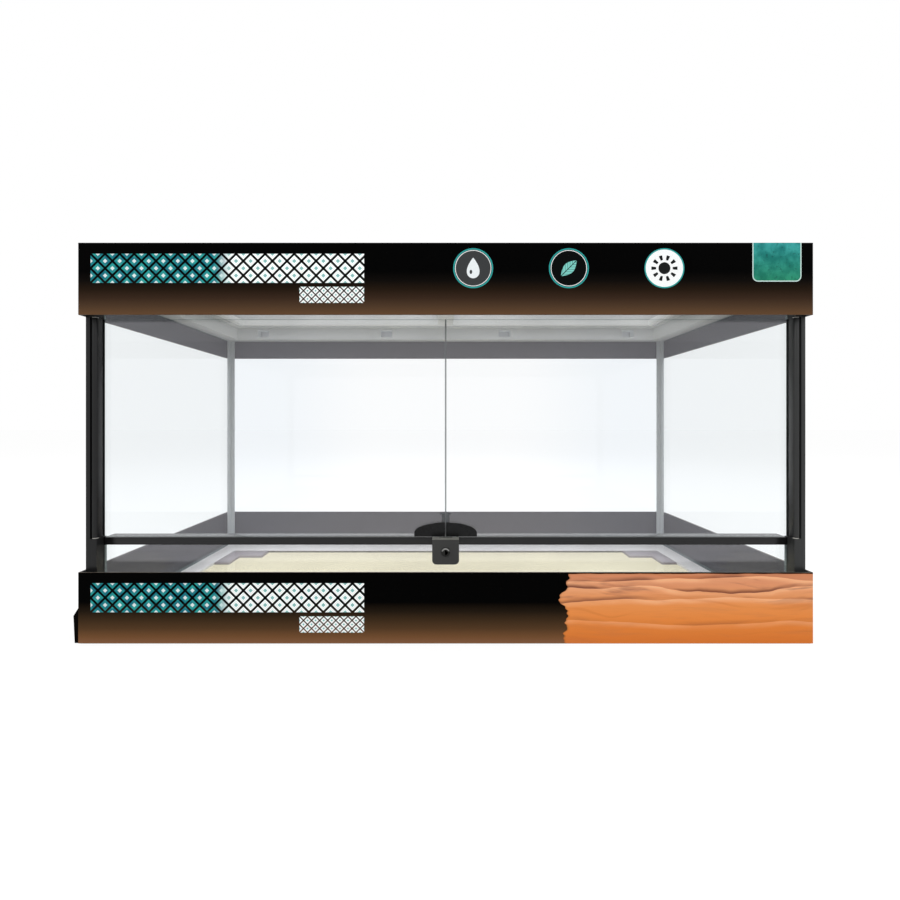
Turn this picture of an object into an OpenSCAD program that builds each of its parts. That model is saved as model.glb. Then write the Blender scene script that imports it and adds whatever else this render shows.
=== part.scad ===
// Glass terrarium with two front doors, a lifting mesh lid and sliding cable gates.
// Frame: origin on the table at the middle of the footprint, +X right, +Y back, +Z up.

/* [Overall] */
// Width over the card band
tank_w = 910; // [800:10:1200]
// Depth over the card band
tank_d = 460; // [400:10:600]
// Height of the whole tank
tank_h = 496; // [440:1:640]

/* [Plastic frames] */
// Height of the lower frame
base_h = 88; // [80:1:110]
// Height of the upper frame
top_h = 89; // [80:1:120]
// Wall of both frames
frame_wall = 2; // [1.6:0.1:3]
// Outer corner radius of both frames
frame_corner_r = 3; // [2:0.5:4]
// Clear height under the ledge of the lower frame
ledge_z = 14; // [8:1:20]
// Thickness of the ledge
ledge_t = 3; // [2:0.5:5]
// Width of the ledge
ledge_w = 45; // [35:1:60]
// Thickness of the foot wall and of the front box wall
foot_wall = 2; // [1.6:0.1:3]
// Spacing of the ribs under the ledge
rib_pitch = 85; // [60:5:120]
// Depth of the front box top below the rim of the lower frame
front_box_drop = 9; // [6:1:20]
// Depth of the upper deck below the rim
deck_drop = 6.5; // [6:0.5:10]
// Thickness of the upper deck
deck_t = 2.5; // [2:0.5:4]

/* [Glass] */
// Thickness of the upright panes
glass_t = 4; // [3:0.5:6]
// Thickness of the floor pane
floor_t = 5; // [4:0.5:8]
// Thickness of the bond between frame and pane
bond_t = 0.8; // [0.5:0.1:1.5]
// Gap between seated pieces
seat_gap = 0.3; // [0.2:0.05:0.5]

/* [Floor] */
// Thickness of the rim and the gussets under the floor pane
rim_t = 5; // [3:0.5:8]
// Thickness of the foam sheet inside the rim
foam_t = 1.5; // [1:0.5:3]
// Width of the rim at the sides
rim_side_w = 31.5; // [20:0.5:40]
// Width of the rim at the back
rim_back_w = 59; // [50:1:80]
// Width of the rim at the front
rim_front_w = 35; // [30:1:50]
// Leg of a rear corner bar beside the side pane
rear_bar_leg = 15; // [10:0.5:20]
// Leg of a rear corner bar along the back pane
rear_bar_back_leg = 10; // [8:0.5:20]
// Thickness of a rear corner bar
rear_bar_t = 2.5; // [2:0.1:4]
// Length of a corner gusset along X
gusset_x = 68; // [50:1:90]
// Length of a corner gusset along Y
gusset_y = 91; // [60:1:100]
// Width of the leg of a gusset that runs along Y
gusset_leg_y = 26; // [20:1:36]
// Width of the leg of a gusset that runs along X
gusset_leg_x = 41; // [20:1:45]

/* [Posts and doors] */
// Distance from the band front to the post front
post_inset = 10.5; // [8:0.5:14]
// Thickness of the outer lip of a post
lip_t = 5.1; // [4.6:0.1:8]
// Thickness of the web behind a door stile
web_t = 2; // [1.5:0.1:3]
// How far the web stops short of the stile edge
web_short = 2; // [1:0.5:4]
// Width of a door stile
stile_w = 8.2; // [7:0.1:10]
// Depth of a door stile
stile_d = 17.5; // [16:0.5:22]
// Wall of the stile behind the glass
stile_back_wall = 1.5; // [1.2:0.1:2.5]
// Depth of the glass slot in a stile
slot_depth = 4.5; // [3:0.1:5]
// Running gap between stile and post
stile_gap = 0.35; // [0.3:0.05:0.6]
// Gap between the two doors
door_gap = 1.5; // [1:0.1:4]
// Gap between the seal on the right door and the left door
seal_gap = 0.3; // [0.2:0.05:0.5]
// Gap between sill rail and doors
door_foot_gap = 1.6; // [1.4:0.1:3]
// Gap between doors and the upper frame
door_head_gap = 1.5; // [1.2:0.1:3]
// Radius of a hinge pin
pin_r = 2; // [1.5:0.1:2.5]
// Radial clearance of every pin in its bore
pin_play = 0.05; // [0.03:0.01:0.1]
// Length of a hinge pin in the post and in the stile
pin_reach = 8; // [6:1:12]
// Thickness of a hinge bush
bush_t = 0.7; // [0.5:0.1:1]
// Radius of a hinge bush
bush_r = 3.6; // [3:0.1:4]
// Gap beside a hinge bush and under a hatch
bush_gap = 0.2; // [0.1:0.05:0.3]
// Gap between the doors and the foot of the front upper pane
upper_pane_gap = 0.9; // [0.5:0.1:1.4]

/* [Door handles] */
// Half width of the handle pair
handle_half_w = 40; // [30:1:60]
// Height of a handle at the seam
handle_h = 18; // [14:0.5:30]
// Height of the straight outer end of a handle
handle_end_h = 5; // [2:0.5:8]
// Thickness of a handle
handle_t = 3; // [2:0.5:4]
// Height of the pull stem above the handle
stem_h = 12; // [6:0.5:20]
// Width of the stem
stem_w = 4.2; // [2:0.1:5]
// Width of the flared stem top
stem_top_w = 6.2; // [5:0.1:8]

/* [Sill rail] */
// Height of the rail top above the lower frame
sill_rise = 38.7; // [30:0.1:60]
// Height of the rail
sill_h = 9.7; // [8:0.1:14]
// Depth of the rail
sill_d = 24; // [18:0.5:30]
// Wall of the rail
sill_wall = 1.6; // [1.2:0.1:2]
// Distance from the band front to the rail front
sill_inset = 23.7; // [22.7:0.1:26]

/* [Lock] */
// Width of the lock body
lock_w = 33.5; // [26:0.5:40]
// Height of the lock body
lock_h = 31; // [28:0.5:40]
// Corner radius at the bottom of the lock body
lock_r = 5.5; // [2:0.5:7]
// Distance from the band front to the lock front
lock_inset = 4; // [3:0.5:5]
// Depth of the saddle on the rail behind the lock
saddle_d = 17; // [8:0.5:22]
// Width of the saddle at its back edge
saddle_back_w = 26.5; // [16:0.5:33]
// Height of the barrel axis above the bottom of the lock
barrel_z = 15.4; // [14:0.2:18]
// How far the barrel stands out of the lock
barrel_out = 3; // [0.5:0.5:3]
// Radius of the key barrel
barrel_r = 5.2; // [4:0.1:6]
// Crank radius of the barrel pin
crank_r = 4.4; // [3:0.1:4.6]
// Radius of the crank pin
crank_pin_r = 1.2; // [0.8:0.1:1.5]
// Width of the lock bolt
bolt_w = 16; // [14:0.5:20]
// Thickness of the lock bolt
bolt_t = 2.6; // [2:0.1:3]
// Clearance of the bolt in the lock
bolt_gap = 0.3; // [0.2:0.05:0.4]
// Depth of the bolt top below the lock top
bolt_sink = 0.5; // [0.2:0.1:1]
// Gap between the raised bolt and the handles
bolt_clear = 0.7; // [0.5:0.1:1]
// Height of the bolt below its crank slot
bolt_foot_h = 2.6; // [2:0.1:3]
// Gap between the lock top and the doors
lock_clear = 0.5; // [0.4:0.1:0.8]
// Extra height of the crank slot over the crank pin
crank_slot_rise = 2.2; // [2:0.1:2.4]
// Extra width of the crank slot over the crank
crank_slot_play = 0.8; // [0.6:0.1:1]
// Width of the keyhole
key_w = 1.6; // [1.2:0.1:2]
// Height of the keyhole
key_h = 6.4; // [5:0.1:7]
// Depth of the keyhole
key_depth = 8; // [5:0.5:10]

/* [Lid seat] */
// Distance from the tank top to the underside of the flange
flange_drop = 54; // [50:1:70]
// Thickness of the liner
liner_t = 3; // [2:0.5:4]
// Wall of the liner riser
riser_wall = 2; // [1.5:0.1:3]
// Height of the riser
riser_h = 20; // [18:0.5:24]
// Width of the flange at the sides and the back
flange_w = 25.6; // [24:0.1:40]
// Width of the shelf behind the posts at the front
front_shelf = 10; // [8:1:20]
// How far the lid seat reaches in from the riser
seat_lip = 8.5; // [5:0.5:12]
// Distance from the riser face to the wall round the lid
recess_step = 7; // [5:0.5:8]

/* [Lid] */
// Gap round the lid
lid_gap = 1; // [0.5:0.1:2]
// Width of the lid bars
lid_bar_w = 23; // [18:1:30]
// Width of the middle bar
lid_mid_w = 30; // [24:1:40]
// Height of the mesh above the lid seat
mesh_rise = 11; // [8:0.5:14]
// Thickness of a mesh panel
mesh_t = 1; // [0.8:0.1:2]
// Spacing of the holes in the mesh panels
mesh_pitch = 20; // [16:1:40]
// Width of the bars between the holes
mesh_wire = 2; // [1:0.1:4]
// How far the mesh reaches into its slot
mesh_tuck = 3; // [2:0.5:4]
// Clearance of a mesh panel in its slot
mesh_play = 0.1; // [0.05:0.05:0.2]

/* [Feeding hatches] */
// Width of the hatch opening
hatch_w = 160; // [100:5:220]
// Depth of the hatch opening
hatch_d = 120; // [80:5:160]
// Width of the bars round the hatch opening
surround_w = 12; // [10:1:16]
// Thickness of a hatch
hatch_t = 8; // [6:0.5:9]
// Width of the hatch bars
hatch_bar_w = 12; // [11:1:18]
// Gap round a hatch
hatch_gap = 1; // [0.6:0.1:2]
// Width of the lip a hatch rests on
hatch_rest_w = 4; // [3:0.5:6]
// Thickness of the lip a hatch rests on
hatch_rest_t = 3; // [2:0.5:3.5]
// Radius of a hatch pin
hatch_pin_r = 1.5; // [1:0.1:2]
// Reach of a hatch pin on each side of the gap
hatch_pin_reach = 5; // [4:0.5:6]
// Width of the hatch finger tab
tab_w = 30; // [20:1:50]
// Height of the hatch finger tab
hatch_tab_h = 2.2; // [1.5:0.1:2.5]

/* [Lid latches] */
// Distance of a latch from the middle
latch_x = 250; // [190:5:300]
// Width of a latch
latch_w = 28; // [24:1:40]
// Length of a latch
latch_l = 18; // [14:0.5:18]
// Thickness of a latch plate
latch_t = 2; // [1.5:0.1:2.5]
// Gap between a released latch and the lid
latch_clear = 3; // [2:0.5:3.5]
// Gap between the deck and a latch
latch_lift = 0.2; // [0.1:0.05:0.3]
// Clearance of a latch beside and under its guides
latch_play = 0.3; // [0.2:0.05:0.4]
// Width of a latch knob
knob_w = 14; // [10:1:16]
// Height of a latch knob above its plate
knob_h = 2.6; // [2:0.1:3]
// Reach of a guide over its latch
guide_lip = 1.8; // [1:0.1:2.5]
// Thickness of the part of a guide that lies over its latch
guide_lip_t = 1.4; // [1:0.1:1.5]
// Thickness of the guides
guide_t = 2; // [1.5:0.1:2.5]

/* [Cable gates] */
// Distance of the inner gates from the middle
gate_inner_x = 120; // [60:5:150]
// Distance of the outer gates from the middle
gate_outer_x = 370; // [345:5:380]
// Width of a gate
gate_w = 30; // [26:1:40]
// Thickness of a gate
gate_t = 2.5; // [2:0.1:3]
// Depth of a gate top below the rim
gate_sink = 0.5; // [0.3:0.1:1.5]
// Reach of a gate guide over its gate
gate_guide_lip = 3; // [2:0.1:3.3]
// Gap between the flange and the foot of a gate guide
gate_guide_gap = 1; // [0.5:0.1:2]
// Size of the finger ridge on a gate
ridge_t = 2; // [1:0.1:2.5]
// Height of the finger ridge above the deck
ridge_rise = 1; // [0.5:0.1:1.5]
// Width of a cable port
port_w = 24; // [16:1:24]
// Height of a cable port
port_h = 14; // [10:0.5:15]
// Height of a cable port above the gate foot
port_rise = 2; // [1.5:0.5:3]
// Wall of the port sleeves
sleeve_wall = 1.2; // [1:0.1:1.5]

/* [Card bands] */
// Thickness of the card
band_t = 0.6; // [0.4:0.1:1]
// Radius inside a fold of the card
fold_r = 0.5; // [0.3:0.1:1]
// How far the card wings stop short of the back
band_short = 20; // [10:1:60]
// Gap between the lower band and the table
band_foot_gap = 0.4; // [0.2:0.1:1]
// Width of the end tab
tab_reach = 6.2; // [4:0.1:10]
// Height of the end tab
tab_rise = 44; // [20:1:60]
// Slant of the end tab top
tab_slant = 10; // [4:1:16]
// Slant of the end tab foot
tab_foot_slant = 1.6; // [0:0.1:3]

/* [Hidden] */
$fn = 48;

// A cut runs this far past a face, so that no skin is left
over = 1;

// Frame outline and inner face
frame_x = tank_w / 2 - band_t;
frame_front = -tank_d / 2 + band_t;
frame_back = tank_d / 2;
inner_x = frame_x - frame_wall;
inner_front = frame_front + frame_wall;
inner_back = frame_back - frame_wall;

// Panes
pane_out_x = inner_x - bond_t;
pane_in_x = pane_out_x - glass_t;
back_out = inner_back - bond_t;
back_in = back_out - glass_t;
flange_z = tank_h - flange_drop;
ledge_top = ledge_z + ledge_t;
floor_z = ledge_top + rim_t;
floor_top = floor_z + floor_t;

// Posts, stiles and the hinge axis
post_out_x = inner_x - seat_gap;
lip_in_x = post_out_x - lip_t;
stile_out_x = lip_in_x - stile_gap;
stile_in_x = stile_out_x - stile_w;
post_front = -tank_d / 2 + post_inset;
nose_r = stile_w / 2;
hinge_x = stile_out_x - nose_r;
hinge_y = post_front + nose_r;
stile_back = post_front + stile_d;
sweep_r = stile_d - nose_r;
web_front = stile_back + stile_gap;
post_back = web_front + web_t;
web_in_x = stile_in_x + web_short;

// Doors
door_glass_back = stile_back - stile_back_wall;
door_glass_front = door_glass_back - glass_t;
handle_front = door_glass_front - handle_t;
sill_top = base_h + sill_rise;
door_foot = sill_top + door_foot_gap;
door_head = tank_h - top_h - door_head_gap;
post_foot_top = door_foot - bush_gap - bush_t;
post_head_foot = door_head + bush_gap + bush_t;

// Sill rail and the pane under it
sill_front = -tank_d / 2 + sill_inset;
sill_foot = sill_top - sill_h;
lower_pane_front = sill_front + sill_wall + seat_gap;
lower_pane_back = lower_pane_front + glass_t;
front_wall_back = lower_pane_front - seat_gap;
front_box_top = base_h - front_box_drop;
upper_pane_front = door_glass_back + seat_gap * 2;
upper_pane_back = upper_pane_front + glass_t;
floor_front = post_back + seat_gap;

// Lid seat and recess
riser_x = pane_in_x - flange_w;
riser_back = back_in - flange_w;
riser_front = post_back + front_shelf;
seat_z = flange_z + liner_t + riser_h;
seat_top = seat_z + liner_t;
recess_x = riser_x + recess_step;
recess_front = riser_front - recess_step;
recess_back = riser_back + recess_step;
deck_top = tank_h - deck_drop;
deck_foot = deck_top - deck_t;

// Lid
lid_x = recess_x - lid_gap;
lid_front = recess_front + lid_gap;
lid_back = recess_back - lid_gap;
lid_top = deck_top - seat_gap;
bar_in_x = lid_x - lid_bar_w;
bar_in_front = lid_front + lid_bar_w;
bar_in_back = lid_back - lid_bar_w;
mesh_z = seat_top + mesh_rise;

// Feeding hatches, right hand one
hatch_x0 = lid_mid_w / 2;
hatch_x1 = hatch_x0 + hatch_w;
hatch_y0 = bar_in_front;
hatch_y1 = hatch_y0 + hatch_d;
hatch_top = lid_top - seat_gap;
hatch_foot = hatch_top - hatch_t;
hatch_axis_y = hatch_y1 - hatch_gap - hatch_t / 2;
hatch_axis_z = hatch_top - hatch_t / 2;

// Latches
plate_z = deck_top + latch_lift;
plate_top = plate_z + latch_t;
front_latch_tip = lid_front - latch_clear;
rear_latch_tip = lid_back + latch_clear;

// Cable gates and ports
gate_back = inner_back - seat_gap;
gate_front = gate_back - gate_t;
gate_foot = flange_z + liner_t + seat_gap;
gate_top = tank_h - gate_sink;
port_z = gate_foot + port_rise;
gate_rail_front = gate_front - seat_gap - guide_t;
gate_guide_foot = flange_z + liner_t + gate_guide_gap;
rear_wall_x = inner_x - frame_corner_r;
gate_xs = [-gate_outer_x, -gate_inner_x, gate_inner_x, gate_outer_x];
latch_xs = [-latch_x, latch_x];

// Lock
lock_front = -tank_d / 2 + lock_inset;
lock_top = door_foot - lock_clear;
lock_foot = lock_top - lock_h;
barrel_axis = lock_foot + barrel_z;
bolt_back = handle_front - bolt_clear;
bolt_front = bolt_back - bolt_t;
bolt_top = lock_top - bolt_sink;
crank_slot_h = 2 * crank_pin_r + crank_slot_rise;
crank_slot_w = 2 * (crank_r + crank_pin_r) + crank_slot_play;
bolt_foot = barrel_axis - crank_r - crank_slot_h / 2 - bolt_foot_h;

// Shades, as the material is seen
black = [0.03, 0.03, 0.03];
post_black = [0.14, 0.14, 0.14];
light_grey = [0.66, 0.67, 0.68];
mid_grey = [0.42, 0.42, 0.44];
bar_grey = [0.62, 0.63, 0.65];
clear_glass = [0.86, 0.94, 0.93, 0.35];
card_brown = [0.16, 0.11, 0.08];

// Rectangle between two corners with round corners
module round_rect(x0, y0, x1, y1, r) {
    translate([x0 + r, y0]) square([x1 - x0 - 2 * r, y1 - y0]);
    translate([x0, y0 + r]) square([x1 - x0, y1 - y0 - 2 * r]);
    for (x = [x0 + r, x1 - r])
        for (y = [y0 + r, y1 - r])
            translate([x, y]) circle(r = r);
}

// Box between two corners
module box(x0, y0, z0, x1, y1, z1) {
    translate([x0, y0, z0]) cube([x1 - x0, y1 - y0, z1 - z0]);
}

// Rectangular ring, given by its outer and inner half width and its front and back edges
module ring(out_x, out_front, out_back, in_x, in_front, in_back, z0, z1) {
    difference() {
        box(-out_x, out_front, z0, out_x, out_back, z1);
        box(-in_x, in_front, z0 - over, in_x, in_back, z1 + over);
    }
}

// Outer wall of a frame between two heights
module skirt(z0, z1) {
    inner_r = max(frame_corner_r - frame_wall, 0.5);
    translate([0, 0, z0]) linear_extrude(z1 - z0) difference() {
        round_rect(-frame_x, frame_front, frame_x, frame_back, frame_corner_r);
        round_rect(-inner_x, inner_front, inner_x, inner_back, inner_r);
    }
}

// Child on the right side and its mirror image on the left
module both_sides() {
    children();
    mirror([1, 0, 0]) children();
}

// ---- Lower part ----

module base_ribs() {
    foot_x = inner_x - ledge_w;
    foot_front = inner_front + ledge_w;
    foot_back = inner_back - ledge_w;
    count_x = floor(2 * foot_x / rib_pitch);
    count_y = floor((foot_back - foot_front) / rib_pitch);
    for (i = [0:count_x]) {
        x = -count_x * rib_pitch / 2 + i * rib_pitch;
        box(x - foot_wall / 2, inner_front, 0, x + foot_wall / 2, foot_front, ledge_top);
        box(x - foot_wall / 2, foot_back, 0, x + foot_wall / 2, inner_back, ledge_top);
    }
    for (i = [0:count_y]) {
        y = (foot_front + foot_back) / 2 + (i - count_y / 2) * rib_pitch;
        both_sides() box(foot_x, y - foot_wall / 2, 0, inner_x, y + foot_wall / 2, ledge_top);
    }
}

module base_frame() {
    foot_x = inner_x - ledge_w;
    foot_front = inner_front + ledge_w;
    foot_back = inner_back - ledge_w;
    color(black) {
        skirt(0, base_h);
        ring(inner_x, inner_front, inner_back, foot_x, foot_front, foot_back, ledge_z, ledge_top);
        ring(foot_x + foot_wall, foot_front - foot_wall, foot_back + foot_wall,
             foot_x, foot_front, foot_back, 0, ledge_top);
        base_ribs();
        // Front box: top and inner wall, and the pads that the posts stand on
        box(-inner_x, inner_front, front_box_top - foot_wall, inner_x, front_wall_back, front_box_top);
        box(-inner_x, front_wall_back - foot_wall, ledge_z, inner_x, front_wall_back, front_box_top);
        both_sides() box(stile_in_x, front_wall_back - foot_wall, ledge_z,
                         inner_x, post_back, front_box_top);
    }
}

// Outline of the space inside the panes at floor level
module floor_plate(z0, z1) {
    box(-pane_in_x + seat_gap, floor_front, z0, pane_in_x - seat_gap, back_in - seat_gap, z1);
}

window_x = pane_in_x - rim_side_w;
window_front = floor_front + rim_front_w;
window_back = back_in - rim_back_w;

module floor_rim() {
    color(light_grey) difference() {
        floor_plate(ledge_top, floor_z);
        box(-window_x, window_front, ledge_top - over, window_x, window_back, floor_z + over);
    }
}

// Outline of one gusset with its outer corner at the origin, legs towards -X and -Y
module gusset_outline(grow) {
    translate([-gusset_x - grow, -gusset_leg_x - grow]) square([gusset_x + grow, gusset_leg_x + grow]);
    translate([-gusset_leg_y - grow, -gusset_y - grow]) square([gusset_leg_y + grow, gusset_y + grow]);
}

// All four gussets, grown by a gap on their inner edges
module gusset_set(grow, inset) {
    for (sx = [0, 1])
        for (sy = [0, 1])
            mirror([sx, 0, 0])
                translate([0, (window_front + window_back) / 2, 0]) mirror([0, sy, 0])
                    translate([window_x - inset, (window_back - window_front) / 2 - inset, 0])
                        gusset_outline(grow);
}

module corner_gussets() {
    color(mid_grey) translate([0, 0, ledge_top]) linear_extrude(rim_t) gusset_set(0, seat_gap);
}

module floor_panel() {
    color("cornsilk") translate([0, 0, ledge_top]) linear_extrude(foam_t) difference() {
        translate([-window_x + seat_gap, window_front + seat_gap])
            square([2 * (window_x - seat_gap), window_back - window_front - 2 * seat_gap]);
        gusset_set(2 * seat_gap, 0);
    }
}

module floor_glass() {
    color(clear_glass) floor_plate(floor_z, floor_top);
}

// Bond between the skirt and the side and back panes
module bond_strips(z0, z1) {
    both_sides() box(pane_out_x, post_back + seat_gap, z0, inner_x, back_out, z1);
    box(-pane_out_x, back_out, z0, pane_out_x, inner_back, z1);
}

module lower_bond_strips() {
    color(mid_grey) bond_strips(ledge_top, base_h);
}

module side_glass() {
    box(pane_in_x, post_back + seat_gap, ledge_top, pane_out_x, back_in - seat_gap, flange_z);
}

module right_glass() {
    color(clear_glass) side_glass();
}

module left_glass() {
    color(clear_glass) mirror([1, 0, 0]) side_glass();
}

module back_glass() {
    color(clear_glass) box(-pane_out_x, back_in, ledge_top, pane_out_x, back_out, flange_z);
}

module front_lower_glass() {
    edge_x = stile_in_x - seat_gap;
    color(clear_glass)
        box(-edge_x, lower_pane_front, ledge_top, edge_x, lower_pane_back, sill_top - sill_wall - seat_gap);
}

module front_upper_glass() {
    edge_x = web_in_x - seat_gap;
    color(clear_glass)
        box(-edge_x, upper_pane_front, door_head + upper_pane_gap, edge_x, upper_pane_back, flange_z);
}

// Right hand post: full below and above the door, lip and web beside it
module post() {
    difference() {
        union() {
            box(stile_in_x, post_front, front_box_top, post_out_x, post_back, post_foot_top);
            box(lip_in_x, post_front, front_box_top, post_out_x, post_back, flange_z);
            box(web_in_x, web_front, front_box_top, post_out_x, post_back, flange_z);
            box(web_in_x, post_front, post_head_foot, post_out_x, post_back, flange_z);
        }
        translate([hinge_x, hinge_y, post_foot_top - pin_reach])
            cylinder(r = pin_r + pin_play, h = pin_reach + over);
        translate([hinge_x, hinge_y, post_head_foot - over])
            cylinder(r = pin_r + pin_play, h = pin_reach + over);
    }
}

module front_right_post() {
    color(post_black) post();
}

module front_left_post() {
    color(post_black) mirror([1, 0, 0]) post();
}

module bush(z) {
    translate([hinge_x, hinge_y, z]) difference() {
        cylinder(r = bush_r, h = bush_t);
        translate([0, 0, -over]) cylinder(r = pin_r + pin_play, h = bush_t + 2 * over);
    }
}

module hinge_bushes() {
    color("gainsboro") both_sides() {
        bush(post_foot_top);
        bush(post_head_foot - bush_t);
    }
}

module rear_corner_bars() {
    bar_x = pane_in_x - seat_gap;
    bar_y = back_in - seat_gap;
    color(bar_grey) both_sides() {
        box(bar_x - rear_bar_t, bar_y - rear_bar_leg, floor_top, bar_x, bar_y, flange_z);
        box(bar_x - rear_bar_back_leg, bar_y - rear_bar_t, floor_top, bar_x, bar_y, flange_z);
    }
}

module sill_rail() {
    edge_x = stile_in_x - seat_gap;
    back = sill_front + sill_d;
    rib_front = lower_pane_back + seat_gap;
    color(post_black) {
        box(-edge_x, sill_front, sill_top - sill_wall, edge_x, back, sill_top);
        box(-edge_x, sill_front, sill_foot, edge_x, sill_front + sill_wall, sill_top);
        box(-edge_x, rib_front, sill_foot, edge_x, rib_front + sill_wall, sill_top);
        box(-edge_x, back - sill_wall, sill_foot, edge_x, back, sill_top);
    }
}

// ---- Lock ----

module lock_outline() {
    half = lock_w / 2;
    translate([-half, lock_foot + lock_r]) square([lock_w, lock_h - lock_r]);
    translate([-half + lock_r, lock_foot]) square([lock_w - 2 * lock_r, lock_h]);
    for (x = [-half + lock_r, half - lock_r])
        translate([x, lock_foot + lock_r]) circle(r = lock_r);
}

// Thin saddle on the rail, narrower at its back edge
module lock_saddle() {
    root = sill_front - seat_gap;
    back = sill_front + saddle_d;
    root_x = lock_w / 2;
    back_x = saddle_back_w / 2;
    translate([0, 0, sill_top]) linear_extrude(lock_top - sill_top)
        polygon([[-root_x, root], [root_x, root], [back_x, back], [-back_x, back]]);
}

module lock_body() {
    color(post_black) {
        difference() {
            translate([0, sill_front, 0]) rotate([90, 0, 0])
                linear_extrude(sill_front - lock_front) lock_outline();
            translate([0, bolt_front - bolt_gap, barrel_axis]) rotate([90, 0, 0])
                cylinder(r = barrel_r + pin_play, h = bolt_front - lock_front + over);
            box(-bolt_w / 2 - bolt_gap, bolt_front - bolt_gap, bolt_foot - bolt_gap,
                bolt_w / 2 + bolt_gap, bolt_back + bolt_gap, lock_top + over);
        }
        lock_saddle();
    }
}

module lock_barrel() {
    barrel_back = bolt_front - bolt_gap;
    barrel_front = lock_front - barrel_out;
    color("silver") {
        difference() {
            translate([0, barrel_back, barrel_axis]) rotate([90, 0, 0])
                cylinder(r = barrel_r, h = barrel_back - barrel_front);
            box(-key_w / 2, barrel_front - over, barrel_axis - key_h / 2,
                key_w / 2, barrel_front + key_depth, barrel_axis + key_h / 2);
        }
        translate([0, bolt_back, barrel_axis - crank_r]) rotate([90, 0, 0])
            cylinder(r = crank_pin_r, h = bolt_back - barrel_back);
    }
}

module lock_bolt() {
    color("silver") difference() {
        box(-bolt_w / 2, bolt_front, bolt_foot, bolt_w / 2, bolt_back, bolt_top);
        box(-crank_slot_w / 2, bolt_front - over, barrel_axis - crank_r - crank_slot_h / 2,
            crank_slot_w / 2, bolt_back + over, barrel_axis - crank_r + crank_slot_h / 2);
    }
}

// ---- Doors, right hand one ----

module door_glass() {
    box(door_gap / 2, door_glass_front, door_foot, stile_in_x + slot_depth, door_glass_back, door_head);
}

module stile_outline() {
    intersection() {
        translate([hinge_x, hinge_y]) circle(r = sweep_r, $fn = 96);
        union() {
            translate([hinge_x, hinge_y]) circle(r = nose_r);
            translate([stile_in_x, hinge_y]) square([stile_w, sweep_r + over]);
        }
    }
}

module door_stile() {
    slot_play = 0.1;
    difference() {
        translate([0, 0, door_foot]) linear_extrude(door_head - door_foot) stile_outline();
        box(stile_in_x - over, door_glass_front - slot_play, door_foot - over,
            stile_in_x + slot_depth + slot_play, door_glass_back + slot_play, door_head + over);
        for (z = [door_foot, door_head])
            translate([hinge_x, hinge_y, z - pin_reach])
                cylinder(r = pin_r + pin_play / 2, h = 2 * pin_reach);
    }
}

module hinge_pins() {
    pin_end_gap = 0.5;
    for (z = [post_foot_top - pin_reach + pin_end_gap, door_head - pin_reach + pin_end_gap])
        translate([hinge_x, hinge_y, z])
            cylinder(r = pin_r, h = door_foot - post_foot_top + 2 * pin_reach - 2 * pin_end_gap);
}

// Quarter oval with a straight outer end, and a flared stem beside the seam
module handle_outline() {
    seam = door_gap / 2;
    arc_w = handle_half_w - seam;
    arc_h = handle_h - handle_end_h;
    steps = 24;
    flare_h = 3;
    polygon(concat(
        [[seam, 0], [handle_half_w, 0], [handle_half_w, handle_end_h]],
        [for (i = [1:steps - 1]) let (a = 90 * i / steps)
            [seam + arc_w * cos(a), handle_end_h + arc_h * sin(a)]],
        [[seam, handle_h]]));
    translate([seam, handle_h - over]) square([stem_w, stem_h + over]);
    translate([seam, handle_h + stem_h - flare_h])
        polygon([[0, 0], [stem_w, 0], [stem_top_w, flare_h - 1], [stem_top_w, flare_h], [0, flare_h]]);
}

module door_handle() {
    translate([0, door_glass_front, door_foot]) rotate([90, 0, 0])
        linear_extrude(handle_t) handle_outline();
}

module right_door_glass() {
    color(clear_glass) door_glass();
}

module left_door_glass() {
    color(clear_glass) mirror([1, 0, 0]) door_glass();
}

// Seal along the free edge of the right door
module door_seal() {
    color(mid_grey)
        box(-door_gap / 2 + seal_gap, door_glass_front, door_foot, door_gap / 2, door_glass_back, door_head);
}

module right_door_stile() {
    color(post_black) door_stile();
}

module left_door_stile() {
    color(post_black) mirror([1, 0, 0]) door_stile();
}

module right_door_handle() {
    color(black) door_handle();
}

module left_door_handle() {
    color(black) mirror([1, 0, 0]) door_handle();
}

module right_hinge_pins() {
    color("silver") hinge_pins();
}

module left_hinge_pins() {
    color("silver") mirror([1, 0, 0]) hinge_pins();
}

// ---- Upper part ----

// Guide rails for one latch: centred on x, between two Y edges
module latch_guide(x, y0, y1) {
    half = latch_w / 2 + latch_play;
    lip_z = plate_top + latch_play;
    for (s = [-1, 1]) translate([x, 0, 0]) mirror([s < 0 ? 1 : 0, 0, 0]) {
        box(half, y0, deck_top, half + guide_t, y1, lip_z + guide_lip_t);
        box(half - guide_lip, y0, lip_z, half + guide_t, y1, lip_z + guide_lip_t);
    }
}

// Guide rails for one gate on the inner face of the back wall
module gate_guide(x) {
    half = gate_w / 2 + seat_gap;
    for (s = [-1, 1]) translate([x, 0, 0]) mirror([s < 0 ? 1 : 0, 0, 0]) {
        box(half, gate_rail_front, gate_guide_foot, half + guide_t, inner_back, deck_foot);
        box(half - gate_guide_lip, gate_rail_front, gate_guide_foot,
            half + guide_t, gate_rail_front + guide_t, deck_foot);
    }
}

// Front and side walls of the upper frame, with a short return at each rear corner
module top_frame() {
    color(black) difference() {
        skirt(tank_h - top_h, tank_h);
        box(-rear_wall_x, inner_back - over, tank_h - top_h - over,
            rear_wall_x, frame_back + over, tank_h + over);
    }
}

// Back wall of the upper frame above and below the cable ports
module rear_rails() {
    color(black) {
        box(-rear_wall_x, inner_back, tank_h - top_h, rear_wall_x, frame_back, port_z);
        box(-rear_wall_x, inner_back, port_z + port_h, rear_wall_x, frame_back, tank_h);
    }
}

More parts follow.
